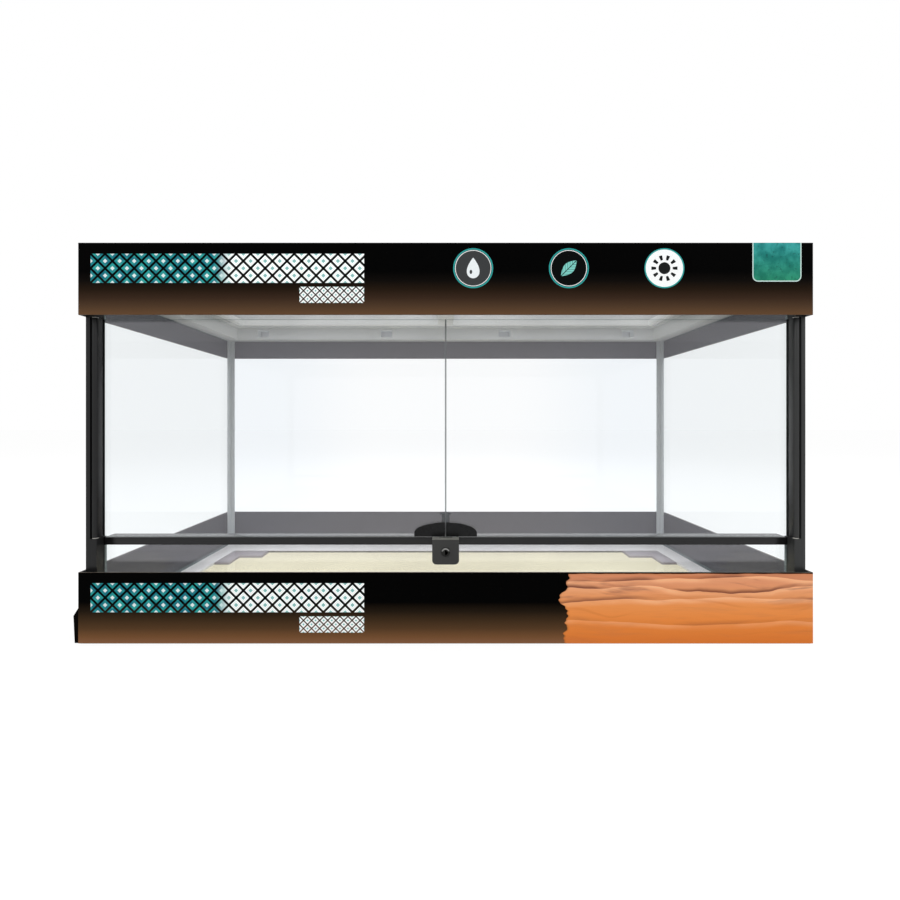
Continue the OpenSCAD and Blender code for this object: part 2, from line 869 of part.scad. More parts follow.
// Back wall of the upper frame between the cable ports
module rear_piers() {
    edges = concat([-rear_wall_x], [for (x = gate_xs) each [x - port_w / 2, x + port_w / 2]], [rear_wall_x]);
    color(black) for (i = [0:2:len(edges) - 2])
        box(edges[i], inner_back, port_z, edges[i + 1], frame_back, port_z + port_h);
}

// Deck round the lid, the wall that hangs from its inner edge, and the latch guides
module top_deck() {
    gate_half = gate_w / 2 + seat_gap;
    color(black) difference() {
        union() {
            translate([0, 0, deck_foot]) linear_extrude(deck_t) difference() {
                round_rect(-inner_x, inner_front, inner_x, inner_back, frame_corner_r);
                translate([-recess_x, recess_front]) square([2 * recess_x, recess_back - recess_front]);
            }
            ring(recess_x + frame_wall, recess_front - frame_wall, recess_back + frame_wall,
                 recess_x, recess_front, recess_back, seat_top, deck_top);
            for (x = latch_xs) {
                latch_guide(x, front_latch_tip - latch_l, front_latch_tip);
                latch_guide(x, rear_latch_tip, rear_latch_tip + latch_l);
            }
        }
        for (x = gate_xs)
            box(x - gate_half, gate_front - seat_gap, deck_foot - over, x + gate_half, inner_back + over,
                deck_top + over);
    }
}

module gate_guides() {
    color(black) for (x = gate_xs) gate_guide(x);
}

module upper_bond_strips() {
    color(mid_grey) bond_strips(tank_h - top_h, flange_z);
}

module top_flange() {
    edge_x = inner_x - seat_gap;
    color(light_grey)
        ring(edge_x, inner_front + seat_gap, inner_back - seat_gap,
             riser_x + riser_wall, riser_front - riser_wall, riser_back + riser_wall,
             flange_z, flange_z + liner_t);
}

module top_riser() {
    color(light_grey) difference() {
        ring(riser_x + riser_wall, riser_front - riser_wall, riser_back + riser_wall,
             riser_x, riser_front, riser_back, flange_z, seat_z);
        for (x = gate_xs)
            box(x - port_w / 2, riser_back - over, port_z, x + port_w / 2, riser_back + riser_wall + over,
                port_z + port_h);
    }
}

module lid_seat() {
    seat_out = recess_step + frame_wall;
    color(light_grey)
        ring(riser_x + seat_out, riser_front - seat_out, riser_back + seat_out,
             riser_x - seat_lip, riser_front + seat_lip, riser_back - seat_lip, seat_z, seat_top);
}

// Square tubes that carry the cable ports from the riser to the gates
module port_sleeves() {
    riser_outer = riser_back + riser_wall;
    half = port_w / 2;
    color(light_grey) for (x = gate_xs) difference() {
        box(x - half - sleeve_wall, riser_outer, port_z - sleeve_wall,
            x + half + sleeve_wall, gate_rail_front, port_z + port_h + sleeve_wall);
        box(x - half, riser_outer - over, port_z, x + half, gate_rail_front + over, port_z + port_h);
    }
}

// Space of the right hand mesh panel: the window less the hatch and its surround
module mesh_outline(tuck) {
    side_x = hatch_x1 + surround_w;
    back_y = hatch_y1 + surround_w;
    translate([hatch_x0 - tuck, back_y - tuck])
        square([bar_in_x - hatch_x0 + 2 * tuck, bar_in_back - back_y + 2 * tuck]);
    translate([side_x - tuck, bar_in_front - tuck])
        square([bar_in_x - side_x + 2 * tuck, bar_in_back - bar_in_front + 2 * tuck]);
}

// Square holes that fill the rectangle, whole ones only
module hole_grid(x0, y0, x1, y1) {
    nx = floor((x1 - x0) / mesh_pitch);
    ny = floor((y1 - y0) / mesh_pitch);
    start_x = (x0 + x1 - nx * mesh_pitch + mesh_wire) / 2;
    start_y = (y0 + y1 - ny * mesh_pitch + mesh_wire) / 2;
    for (i = [0:1:nx - 1])
        for (j = [0:1:ny - 1])
            translate([start_x + i * mesh_pitch, start_y + j * mesh_pitch])
                square(mesh_pitch - mesh_wire);
}

module lid_mesh() {
    side_x = hatch_x1 + surround_w;
    back_y = hatch_y1 + surround_w;
    translate([0, 0, mesh_z]) linear_extrude(mesh_t) difference() {
        mesh_outline(mesh_tuck);
        hole_grid(hatch_x0, back_y, side_x, bar_in_back);
        hole_grid(side_x, bar_in_front, bar_in_x, bar_in_back);
    }
}

module lid_frame_half() {
    pin_bore_l = hatch_pin_reach + 0.5;
    difference() {
        union() {
            box(0, lid_front, seat_top, lid_x, bar_in_front, lid_top);
            box(0, bar_in_back, seat_top, lid_x, lid_back, lid_top);
            box(bar_in_x, lid_front, seat_top, lid_x, lid_back, lid_top);
            box(0, lid_front, seat_top, lid_mid_w / 2, lid_back, lid_top);
            box(hatch_x1, hatch_y0, seat_top, hatch_x1 + surround_w, hatch_y1 + surround_w, lid_top);
            box(0, hatch_y1, seat_top, hatch_x1 + surround_w, hatch_y1 + surround_w, lid_top);
            box(0, hatch_y0 - over, hatch_foot - bush_gap - hatch_rest_t,
                hatch_x1 + over, hatch_y0 + hatch_rest_w, hatch_foot - bush_gap);
        }
        translate([0, 0, mesh_z - mesh_play]) linear_extrude(mesh_t + 2 * mesh_play)
            mesh_outline(mesh_tuck + seat_gap);
        translate([hatch_x0 - pin_bore_l, hatch_axis_y, hatch_axis_z]) rotate([0, 90, 0])
            cylinder(r = hatch_pin_r + pin_play, h = hatch_w + 2 * pin_bore_l);
    }
}

module lid_frame() {
    color(post_black) both_sides() lid_frame_half();
}

module lid_mesh_right() {
    color("dimgray") lid_mesh();
}

module lid_mesh_left() {
    color("dimgray") mirror([1, 0, 0]) lid_mesh();
}

// Window inside the hatch bars
hatch_in_x0 = hatch_x0 + hatch_gap + hatch_bar_w;
hatch_in_x1 = hatch_x1 - hatch_gap - hatch_bar_w;
hatch_in_y0 = hatch_y0 + hatch_gap + hatch_bar_w;
hatch_in_y1 = hatch_y1 - hatch_gap - hatch_bar_w;
hatch_mesh_z = hatch_foot + (hatch_t - mesh_t) / 2;

module hatch_frame() {
    mid_x = (hatch_x0 + hatch_x1) / 2;
    difference() {
        union() {
            box(hatch_x0 + hatch_gap, hatch_y0 + hatch_gap, hatch_foot,
                hatch_x1 - hatch_gap, hatch_axis_y, hatch_top);
            translate([hatch_x0 + hatch_gap, hatch_axis_y, hatch_axis_z]) rotate([0, 90, 0])
                cylinder(r = hatch_t / 2, h = hatch_w - 2 * hatch_gap);
            box(mid_x - tab_w / 2, hatch_y0 + hatch_gap, hatch_top - over,
                mid_x + tab_w / 2, hatch_y0 + hatch_gap + 2 * hatch_tab_h, hatch_top + hatch_tab_h);
        }
        box(hatch_in_x0, hatch_in_y0, hatch_foot - over, hatch_in_x1, hatch_in_y1, hatch_top + over);
        box(hatch_in_x0 - mesh_tuck - seat_gap, hatch_in_y0 - mesh_tuck - seat_gap,
            hatch_mesh_z - mesh_play, hatch_in_x1 + mesh_tuck + seat_gap,
            hatch_in_y1 + mesh_tuck + seat_gap, hatch_mesh_z + mesh_t + mesh_play);
        for (x = [hatch_x0, hatch_x1])
            translate([x - hatch_pin_reach - hatch_gap, hatch_axis_y, hatch_axis_z]) rotate([0, 90, 0])
                cylinder(r = hatch_pin_r + pin_play / 2, h = 2 * (hatch_pin_reach + hatch_gap));
    }
}

module hatch_mesh() {
    translate([0, 0, hatch_mesh_z]) linear_extrude(mesh_t) difference() {
        translate([hatch_in_x0 - mesh_tuck, hatch_in_y0 - mesh_tuck])
            square([hatch_in_x1 - hatch_in_x0 + 2 * mesh_tuck, hatch_in_y1 - hatch_in_y0 + 2 * mesh_tuck]);
        hole_grid(hatch_in_x0, hatch_in_y0, hatch_in_x1, hatch_in_y1);
    }
}

module hatch_pins() {
    for (x = [hatch_x0, hatch_x1])
        translate([x - hatch_pin_reach, hatch_axis_y, hatch_axis_z]) rotate([0, 90, 0])
            cylinder(r = hatch_pin_r, h = 2 * hatch_pin_reach);
}

module right_hatch_frame() {
    color(post_black) hatch_frame();
}

module left_hatch_frame() {
    color(post_black) mirror([1, 0, 0]) hatch_frame();
}

module right_hatch_mesh() {
    color("dimgray") hatch_mesh();
}

module left_hatch_mesh() {
    color("dimgray") mirror([1, 0, 0]) hatch_mesh();
}

module right_hatch_pins() {
    color("silver") hatch_pins();
}

module left_hatch_pins() {
    color("silver") mirror([1, 0, 0]) hatch_pins();
}

// Latch between two Y edges, with a ribbed knob on top
module latch(x, y0, y1) {
    rib_w = 1;
    knob_inset = 3;
    color("slategray") translate([x, 0, 0]) {
        box(-latch_w / 2, y0, plate_z, latch_w / 2, y1, plate_top);
        box(-knob_w / 2, y0 + knob_inset, plate_z, knob_w / 2, y1 - knob_inset, plate_top + knob_h - rib_w);
        for (y = [y0 + knob_inset + rib_w:2 * rib_w:y1 - knob_inset - 2 * rib_w])
            box(-knob_w / 2, y, plate_top, knob_w / 2, y + rib_w, plate_top + knob_h);
    }
}

module lid_latch_1() {
    latch(-latch_x, front_latch_tip - latch_l, front_latch_tip);
}

module lid_latch_2() {
    latch(latch_x, front_latch_tip - latch_l, front_latch_tip);
}

module lid_latch_3() {
    latch(-latch_x, rear_latch_tip, rear_latch_tip + latch_l);
}

module lid_latch_4() {
    latch(latch_x, rear_latch_tip, rear_latch_tip + latch_l);
}

// Gate plate with a finger ridge above the deck
module gate(x) {
    ridge_z = deck_top + ridge_rise;
    color(light_grey) translate([x, 0, 0]) {
        box(-gate_w / 2, gate_front, gate_foot, gate_w / 2, gate_back, gate_top);
        box(-gate_w / 4, gate_front - ridge_t, ridge_z, gate_w / 4, gate_back, ridge_z + ridge_t);
    }
}

module cable_gate_1() {
    gate(gate_xs[0]);
}

module cable_gate_2() {
    gate(gate_xs[1]);
}

module cable_gate_3() {
    gate(gate_xs[2]);
}

module cable_gate_4() {
    gate(gate_xs[3]);
}

// ---- Card ----

// Band round the front and both sides
module band(z0, z1) {
    wing_end = frame_back - band_short;
    color(card_brown) translate([0, 0, z0]) linear_extrude(z1 - z0) intersection() {
        difference() {
            round_rect(-frame_x - band_t, frame_front - band_t,
                       frame_x + band_t, frame_back + band_t, fold_r + band_t);
            round_rect(-frame_x, frame_front, frame_x, frame_back, fold_r);
        }
        translate([-tank_w, -tank_d]) square([2 * tank_w, tank_d + wing_end]);
    }
}

module upper_band() {
    band(tank_h - top_h, tank_h);
}

module lower_band() {
    band(band_foot_gap, base_h);
}

module band_end_tab() {
    root_x = -tank_w / 2;
    tab_back = frame_front + fold_r + band_t;
    color(black) translate([0, tab_back, 0]) rotate([90, 0, 0]) linear_extrude(band_t)
        polygon([[root_x, band_foot_gap], [root_x, tab_rise], [root_x - tab_reach, tab_rise - tab_slant],
                 [root_x - tab_reach + tab_foot_slant, band_foot_gap]]);
}

base_frame();
floor_rim();
corner_gussets();
floor_panel();
floor_glass();
lower_bond_strips();
left_glass();
right_glass();
back_glass();
front_lower_glass();
front_upper_glass();
front_left_post();
front_right_post();
hinge_bushes();
rear_corner_bars();
sill_rail();
lock_body();
lock_barrel();
lock_bolt();
left_door_glass();
left_door_stile();
left_door_handle();
left_hinge_pins();
right_door_glass();
right_door_stile();
right_door_handle();
right_hinge_pins();
door_seal();
top_frame();
rear_rails();
rear_piers();
top_deck();
upper_bond_strips();
gate_guides();
top_flange();
top_riser();
lid_seat();
port_sleeves();
lid_frame();
lid_mesh_left();
lid_mesh_right();
left_hatch_frame();
left_hatch_mesh();
left_hatch_pins();
right_hatch_frame();
right_hatch_mesh();
right_hatch_pins();
lid_latch_1();
lid_latch_2();
lid_latch_3();
lid_latch_4();
cable_gate_1();
cable_gate_2();
cable_gate_3();
cable_gate_4();
upper_band();
lower_band();
band_end_tab();
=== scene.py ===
"""Looks of a glass terrarium: moulded frames, panes, hinged doors, a wire mesh lid and printed card bands.

Everything is in metres. X runs from left to right, Y from the doors to the back and Z up.
The object stands on Z = 0.
"""

import logging
import math
from dataclasses import dataclass, replace
from enum import Enum
from typing import Any, Callable, Optional, Sequence, Union

import bpy
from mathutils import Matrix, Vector


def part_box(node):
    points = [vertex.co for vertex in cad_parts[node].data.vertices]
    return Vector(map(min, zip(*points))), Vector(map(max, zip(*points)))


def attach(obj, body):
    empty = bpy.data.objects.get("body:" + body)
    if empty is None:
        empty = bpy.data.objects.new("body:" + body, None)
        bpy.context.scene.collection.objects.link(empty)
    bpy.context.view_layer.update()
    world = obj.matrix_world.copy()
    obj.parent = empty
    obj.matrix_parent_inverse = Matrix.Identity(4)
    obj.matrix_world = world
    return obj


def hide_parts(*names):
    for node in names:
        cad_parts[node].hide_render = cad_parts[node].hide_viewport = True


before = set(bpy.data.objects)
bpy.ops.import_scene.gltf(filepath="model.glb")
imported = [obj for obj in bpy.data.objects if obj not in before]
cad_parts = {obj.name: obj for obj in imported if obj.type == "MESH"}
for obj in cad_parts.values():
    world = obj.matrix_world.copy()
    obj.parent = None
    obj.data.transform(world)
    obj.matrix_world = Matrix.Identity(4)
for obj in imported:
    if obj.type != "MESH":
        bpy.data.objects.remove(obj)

log = logging.getLogger("terrarium")

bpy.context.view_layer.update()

Colour = tuple[float, float, float]
Point = tuple[float, float, float]
Span = tuple[float, float]
Stops = tuple[tuple[float, Colour], ...]
FaceTest = Callable[[bpy.types.MeshPolygon], bool]

MM = 0.001
WHITE: Colour = (1.0, 1.0, 1.0)
FALLING: Span = (1.0, 0.0)
EVEN_CLOUDS: Span = (0.3, 0.7)


def tone(red: float, green: float, blue: float) -> Colour:
    """Turn a printed colour of 0 to 255 into the linear colour that a shader takes.

    Args:
        red: Red, 0 to 255.
        green: Green, 0 to 255.
        blue: Blue, 0 to 255.

    Returns:
        The linear colour, each part 0 to 1.
    """

    def linear(part: float) -> float:
        """Undo the screen's sRGB curve for one part."""
        share = part / 255.0
        return share / 12.92 if share <= 0.04045 else ((share + 0.055) / 1.055) ** 2.4

    return linear(red), linear(green), linear(blue)


def darker(colour: Colour, gain: float) -> Colour:
    """A colour with each part multiplied by a gain below 1."""
    return tuple(part * gain for part in colour)


# ---------------------------------------------------------------- shader maths


class Signal:
    """One shader socket that takes part in Python expressions."""

    def __init__(self, graph: "Graph", socket: bpy.types.NodeSocket) -> None:
        """Wrap a socket.

        Args:
            graph: The graph that the socket belongs to.
            socket: The output socket.
        """
        self.graph = graph
        self.socket = socket

    def __add__(self, other: "Value") -> "Signal":
        """Sum."""
        return self.graph.maths("ADD", self, other)

    __radd__ = __add__

    def __sub__(self, other: "Value") -> "Signal":
        """Difference."""
        return self.graph.maths("SUBTRACT", self, other)

    def __rsub__(self, other: "Value") -> "Signal":
        """Difference the other way round."""
        return self.graph.maths("SUBTRACT", other, self)

    def __mul__(self, other: "Value") -> "Signal":
        """Product."""
        return self.graph.maths("MULTIPLY", self, other)

    __rmul__ = __mul__

    def __truediv__(self, other: "Value") -> "Signal":
        """Quotient."""
        return self.graph.maths("DIVIDE", self, other)

    def __rtruediv__(self, other: "Value") -> "Signal":
        """Quotient the other way round."""
        return self.graph.maths("DIVIDE", other, self)

    def __pow__(self, other: "Value") -> "Signal":
        """Power."""
        return self.graph.maths("POWER", self, other)

    def __abs__(self) -> "Signal":
        """Size without sign."""
        return self.graph.maths("ABSOLUTE", self)

    def fract(self) -> "Signal":
        """Part after the point."""
        return self.graph.maths("FRACT", self)

    def sqrt(self) -> "Signal":
        """Square root."""
        return self.graph.maths("SQRT", self)

    def sine(self) -> "Signal":
        """Sine of an angle in radians."""
        return self.graph.maths("SINE", self)

    def cosine(self) -> "Signal":
        """Cosine of an angle in radians."""
        return self.graph.maths("COSINE", self)

    def larger(self, other: "Value") -> "Signal":
        """The larger of two values."""
        return self.graph.maths("MAXIMUM", self, other)


Value = Union[float, Signal]
Shade = Union[Colour, Signal]


class Graph:
    """The node tree of a material or a world, written as expressions."""

    def __init__(self, owner: Union[bpy.types.Material, bpy.types.World]) -> None:
        """Empty the owner's node tree.

        Args:
            owner: The material or the world.
        """
        owner.use_nodes = True
        self.tree = owner.node_tree
        self.tree.nodes.clear()
        kind = "World" if isinstance(owner, bpy.types.World) else "Material"
        self.output = self.tree.nodes.new(f"ShaderNodeOutput{kind}")
        self._place: Optional[Signal] = None
        self._axes: Optional[tuple[Signal, Signal, Signal]] = None

    def node(self, kind: str, settings: Optional[dict[str, Any]] = None,
             sockets: Optional[dict[Any, Any]] = None) -> bpy.types.Node:
        """Add one node.

        Args:
            kind: Blender's type name of the node.
            settings: Properties of the node, set before its sockets.
            sockets: Values or signals for its inputs, by name or number.

        Returns:
            The new node.
        """
        made = self.tree.nodes.new(kind)
        for key, value in (settings or {}).items():
            setattr(made, key, value)
        for key, value in (sockets or {}).items():
            self.feed(made.inputs[key], value)
        return made

    def feed(self, socket: bpy.types.NodeSocket, value: Any) -> None:
        """Link or set one input.

        Args:
            socket: The input.
            value: A signal, a shader node, a number or a colour.
        """
        if isinstance(value, Signal):
            self.tree.links.new(value.socket, socket)
        elif isinstance(value, bpy.types.Node):
            self.tree.links.new(value.outputs[0], socket)
        elif isinstance(value, tuple) and socket.type == "RGBA":
            socket.default_value = (*value, 1.0)
        else:
            socket.default_value = value

    def signal(self, node: bpy.types.Node, output: Union[str, int] = 0) -> Signal:
        """Wrap an output of a node."""
        return Signal(self, node.outputs[output])

    def maths(self, operation: str, *values: Value) -> Signal:
        """Add one Math node for an operation on values."""
        return self.signal(self.node("ShaderNodeMath", {"operation": operation}, dict(enumerate(values))))

    @property
    def place(self) -> Signal:
        """Point on the piece, in metres."""
        if self._place is None:
            self._place = self.signal(self.node("ShaderNodeTexCoord"), "Object")
        return self._place

    def parts(self, vector: Signal) -> tuple[Signal, Signal, Signal]:
        """X, Y and Z of a vector."""
        split = self.node("ShaderNodeSeparateXYZ", sockets={0: vector})
        return tuple(self.signal(split, number) for number in range(3))

    @property
    def axes(self) -> tuple[Signal, Signal, Signal]:
        """X, Y and Z of the point on the piece."""
        if self._axes is None:
            self._axes = self.parts(self.place)
        return self._axes

    def facing_up(self) -> Signal:
        """Z of the surface's own direction."""
        return self.parts(self.signal(self.node("ShaderNodeNewGeometry"), "Normal"))[2]

    def seen(self) -> Signal:
        """1 for a ray from the camera, a mirror or a pane, and 0 for light on the object."""
        path = self.node("ShaderNodeLightPath")
        camera, mirror, pane = (
            self.signal(path, f"Is {kind} Ray") for kind in ("Camera", "Glossy", "Transmission"))
        return camera.larger(mirror).larger(pane)

    def stretched(self, scale: Point) -> Signal:
        """The point on the piece with each axis multiplied."""
        return self.signal(self.node("ShaderNodeVectorMath", {"operation": "MULTIPLY"}, {
            0: self.place, 1: scale}))

    def joined(self, x: Value, y: Value, z: Value) -> Signal:
        """A vector from three values."""
        return self.signal(self.node("ShaderNodeCombineXYZ", sockets={0: x, 1: y, 2: z}))

    def noise(self, scale: float, detail: float = 2.0, where: Optional[Signal] = None,
              roughness: float = 0.5) -> Signal:
        """Cloudy noise between 0 and 1.

        Args:
            scale: Cells to the metre, or to the unit of where.
            detail: Number of finer layers.
            where: Point to read, the place on the piece if left out.
            roughness: Share of the finer layers.

        Returns:
            The noise.
        """
        return self.signal(self.node("ShaderNodeTexNoise", None, {
            "Vector": where or self.place, "Scale": scale, "Detail": detail, "Roughness": roughness}), "Fac")

    def cells(self, scale: float) -> Signal:
        """Distance to the nearest of scattered points."""
        return self.signal(self.node("ShaderNodeTexVoronoi", {"feature": "F1"}, {
            "Vector": self.place, "Scale": scale}), "Distance")

    def slide(self, value: Value, span: Span, to: Span = (0.0, 1.0), smooth: bool = True) -> Signal:
        """Take a value from one span to another, held at the ends.

        Args:
            value: The value.
            span: Where it starts and ends.
            to: What the ends become.
            smooth: Ease in and out.

        Returns:
            The new value.
        """
        kind = "SMOOTHSTEP" if smooth else "LINEAR"
        return self.signal(self.node("ShaderNodeMapRange", {"interpolation_type": kind, "clamp": True}, {
            "Value": value, "From Min": span[0], "From Max": span[1], "To Min": to[0], "To Max": to[1]}))

    def inside(self, distance: Signal, soft: float = 0.12 * MM) -> Signal:
        """1 where a distance is below 0, with a thin soft edge."""
        return self.slide(distance, (-soft, soft), FALLING)

    def ramp(self, value: Value, stops: Stops) -> Signal:
        """Colour along a value.

        Args:
            value: The value, 0 to 1.
            stops: Positions with their colours.

        Returns:
            The colour.
        """
        made = self.node("ShaderNodeValToRGB", None, {"Fac": value})
        bar = made.color_ramp.elements
        while len(bar) < len(stops):
            bar.new(0.5)
        for element, (position, colour) in zip(bar, stops):
            element.position = position
            element.color = (*colour, 1.0)
        return self.signal(made, "Color")

    def blend(self, share: Value, low: Shade, high: Shade) -> Signal:
        """Mix two colours, low at a share of 0 and high at 1."""
        return self.signal(self.node("ShaderNodeMix", {"data_type": "RGBA"}, {0: share, 6: low, 7: high}), 2)

    def scaled(self, colour: Signal, gain: float) -> Signal:
        """A colour made stronger or weaker."""
        return self.signal(self.node("ShaderNodeVectorMath", {"operation": "SCALE"}, {
            0: colour, "Scale": gain}))

    def bump(self, height: Signal, depth: float) -> Signal:
        """Surface direction from a height of 0 to 1 and its real depth."""
        return self.signal(self.node("ShaderNodeBump", None, {
            "Height": height, "Distance": depth, "Strength": 1.0}), "Normal")

    def principled(self, sockets: dict[str, Any]) -> bpy.types.Node:
        """Add the main shader with the given inputs."""
        return self.node("ShaderNodeBsdfPrincipled", None, sockets)

    def clear(self, tint: Colour) -> bpy.types.Node:
        """Add a shader that lets light straight through, tinted."""
        return self.node("ShaderNodeBsdfTransparent", None, {"Color": tint})

    def layered(self, share: Value, low: bpy.types.Node, high: bpy.types.Node) -> bpy.types.Node:
        """Mix two shaders, low at a share of 0 and high at 1."""
        return self.node("ShaderNodeMixShader", None, {0: share, 1: low, 2: high})

    def show(self, shader: bpy.types.Node) -> None:
        """Make a shader the owner's surface."""
        self.feed(self.output.inputs["Surface"], shader)


# -------------------------------------------------------------------- finishes


@dataclass(frozen=True)
class Finish:
    """A surface finish that makes its material once."""

    name: str

    def variant(self, name: str, **changes: Any) -> "Finish":
        """The same finish under another name, with some of its values changed."""
        return replace(self, name=name, **changes)

    def material(self) -> bpy.types.Material:
        """The material, made at first use."""
        made = bpy.data.materials.get(self.name)
        if made is None:
            made = bpy.data.materials.new(self.name)
            self.paint(Graph(made))
        return made

    def paint(self, g: Graph) -> None:
        """Build the finish in the material's empty graph."""
        raise NotImplementedError


@dataclass(frozen=True)
class Moulded(Finish):
    """Moulded or extruded plastic with a fine grain, faint flow clouds and rubbed patches.

    Its emission of its own colour is painted light, which brightens the part though it is no lamp.
    """

    colour: Colour
    rough: float = 0.42
    shine: float = 0.3
    grain: float = 0.03 * MM
    grain_scale: float = 1500.0
    clouds: float = 0.25
    flow: Point = (1.0, 1.0, 1.0)
    glow: float = 0.0

    def paint(self, g: Graph) -> None:
        """Build the finish.

        Args:
            g: The material's empty graph.
        """
        along = g.stretched(self.flow)
        speck = g.noise(self.grain_scale)
        rub = g.slide(g.noise(46.0, 5.0, along, 0.62), (0.42, 0.72))
        pale = tuple(min(1.0, part * (1.0 + self.clouds) + 0.002) for part in self.colour)
        colour = g.blend(g.slide(g.noise(9.0, 4.0, along), EVEN_CLOUDS),
                         darker(self.colour, 1.0 - self.clouds), pale)
        rough = self.rough + (rub - 0.5) * 0.06 + (speck - 0.5) * 0.06
        coarse_grain = g.noise(self.grain_scale * 0.31, 1.0)
        # The emission of the part's own colour is painted light.
        g.show(g.principled({
            "Base Color": colour, "Roughness": rough, "Specular IOR Level": self.shine,
            "Normal": g.bump(speck + coarse_grain * 0.6, self.grain),
            "Emission Color": colour, "Emission Strength": self.glow}))


@dataclass(frozen=True)
class PaneGlass(Finish):
    """Clear float glass: sight and light go straight through, and it mirrors more at a low angle.

    Its mirror is the share at a right angle and its graze the share along the pane. A side tint
    takes over towards its left and right ends.
    """

    tint: Colour = (0.994, 0.996, 0.996)
    side_tint: Optional[Colour] = None
    side_span: Span = (0.12, 0.36)
    mirror: float = 0.04
    graze: float = 1.0
    reflection: Colour = (0.94, 0.92, 0.98)

    def paint(self, g: Graph) -> None:
        """Build the finish.

        Args:
            g: The material's empty graph.
        """
        clear = g.clear(self.tint)
        if self.side_tint:
            wisp = (g.noise(3.2, 3.0) - 0.5) * 0.06
            clear = g.layered(g.slide(abs(g.axes[0]) + wisp, self.side_span), clear, g.clear(self.side_tint))
        facing = g.signal(g.node("ShaderNodeLayerWeight", None, {"Blend": 0.5}), "Facing")
        share = self.mirror + (self.graze - self.mirror) * facing ** 5.0
        smear = g.slide(g.noise(14.0, 5.0), (0.5, 0.8), (0.0, 0.05))
        gloss = g.principled({"Base Color": self.reflection, "Metallic": 1.0, "Roughness": 0.02 + smear})
        g.show(g.layered(share, clear, gloss))


@dataclass(frozen=True)
class GroundEdge(Finish):
    """Ground and seamed edge of a pane: pale, matt, with fine chips along it."""

    colour: Colour = (0.30, 0.36, 0.37)
    chipped: Colour = (0.78, 0.83, 0.83)
    cover: float = 0.62
    through: Colour = (0.8, 0.88, 0.87)

    def paint(self, g: Graph) -> None:
        """Build the finish.

        Args:
            g: The material's empty graph.
        """
        chips = g.slide(g.noise(900.0, 3.0), (0.55, 0.75))
        solid = g.principled({
            "Base Color": g.blend(chips, self.colour, self.chipped), "Roughness": 0.35 + chips * 0.3,
            "Normal": g.bump(chips, 0.1 * MM)})
        g.show(g.layered(self.cover + chips * self.cover * 0.5, g.clear(self.through), solid))


@dataclass(frozen=True)
class SmokedPlastic(Finish):
    """Smoked plastic that lets part of the light through."""

    colour: Colour = (0.045, 0.05, 0.05)
    through: Colour = (0.87, 0.89, 0.89)
    share: float = 0.15

    def paint(self, g: Graph) -> None:
        """Build the finish.

        Args:
            g: The material's empty graph.
        """
        haze = g.noise(160.0, 3.0)
        solid = g.principled({
            "Base Color": self.colour, "Roughness": 0.3 + haze * 0.12, "Normal": g.bump(haze, 0.05 * MM)})
        g.show(g.layered(self.share + (haze - 0.5) * 0.06, g.clear(self.through), solid))


@dataclass(frozen=True)
class Foam(Finish):
    """Cut closed-cell foam sheet, whose emission of its own colour is painted light that brightens it."""

    colour: Colour
    glow: float

    def paint(self, g: Graph) -> None:
        """Build the finish.

        Args:
            g: The material's empty graph.
        """
        pores = g.slide(g.cells(620.0), (0.0, 0.55))
        tuft = g.slide(g.noise(6.0, 4.0), EVEN_CLOUDS)
        colour = g.blend(tuft, darker(self.colour, 0.93), self.colour)
        # The pits of the pores are painted darker: painted shade in them.
        colour = g.blend((1.0 - pores) * 0.22, colour, darker(self.colour, 0.7))
        # Emission of the foam's colour is painted light.
        g.show(g.principled({
            "Base Color": colour, "Roughness": 0.86, "Normal": g.bump(pores, 0.25 * MM),
            "Specular IOR Level": 0.2, "Emission Color": colour, "Emission Strength": self.glow}))


@dataclass(frozen=True)
class Metal(Finish):
    """Metal with fine drawn or turned lines."""

    colour: Colour
    rough: float
    lines: Point = (1.0, 1.0, 12.0)

    def paint(self, g: Graph) -> None:
        """Build the finish.

        Args:
            g: The material's empty graph.
        """
        drawn = g.noise(700.0, 3.0, g.stretched(self.lines))
        stain = g.slide(g.noise(60.0, 3.0), (0.35, 0.7))
        g.show(g.principled({
            "Base Color": g.blend(stain, darker(self.colour, 0.82), self.colour), "Metallic": 1.0,
            "Roughness": self.rough + (drawn - 0.5) * 0.2, "Normal": g.bump(drawn, 0.02 * MM)}))


@dataclass(frozen=True)
class Sealant(Finish):
    """Cured sealant with a tooled, slightly wavy skin; its emission is painted light that evens out its
    shading.
    """

    colour: Colour
    glow: float = 0.0

    def paint(self, g: Graph) -> None:
        """Build the finish.

        Args:
            g: The material's empty graph.
        """
        wave = g.noise(90.0, 3.0)
        # The troughs of the wavy skin are painted darker: painted shade in its hollows.
        colour = g.blend(wave, darker(self.colour, 0.8), self.colour)
        # Emission of the colour is painted light, and the base colour is weakened by the same share.
        g.show(g.principled({
            "Base Color": g.scaled(colour, 1.0 - self.glow), "Roughness": 0.38 + wave * 0.15,
            "Normal": g.bump(wave, 0.3 * MM), "Emission Color": colour, "Emission Strength": self.glow}))


@dataclass(frozen=True)
class StudioWhite(Finish):
    """Pale floor that shows white and keeps the object's shadow."""

    colour: Colour = (0.22, 0.22, 0.22)
    lift: float = 0.79

    def paint(self, g: Graph) -> None:
        """Build the finish.

        Args:
            g: The material's empty graph.
        """
        base = g.principled({
            "Base Color": g.blend(g.noise(30.0, 3.0), darker(self.colour, 0.98), self.colour),
            "Roughness": 0.9, "Specular IOR Level": 0.0})
        glow = g.node("ShaderNodeEmission", None, {"Color": WHITE, "Strength": g.seen() * self.lift})
        g.show(g.node("ShaderNodeAddShader", None, {0: base, 1: glow}))


# ---------------------------------------------------------------- printed card

TEAL = tone(46, 150, 146)
TEAL_DEEP = tone(28, 104, 120)
PALE = tone(240, 244, 243)
BOARD_DARK = tone(96, 84, 72)
BOARD_PALE = tone(150, 136, 120)
VARNISH_DUST = tone(96, 84, 74)


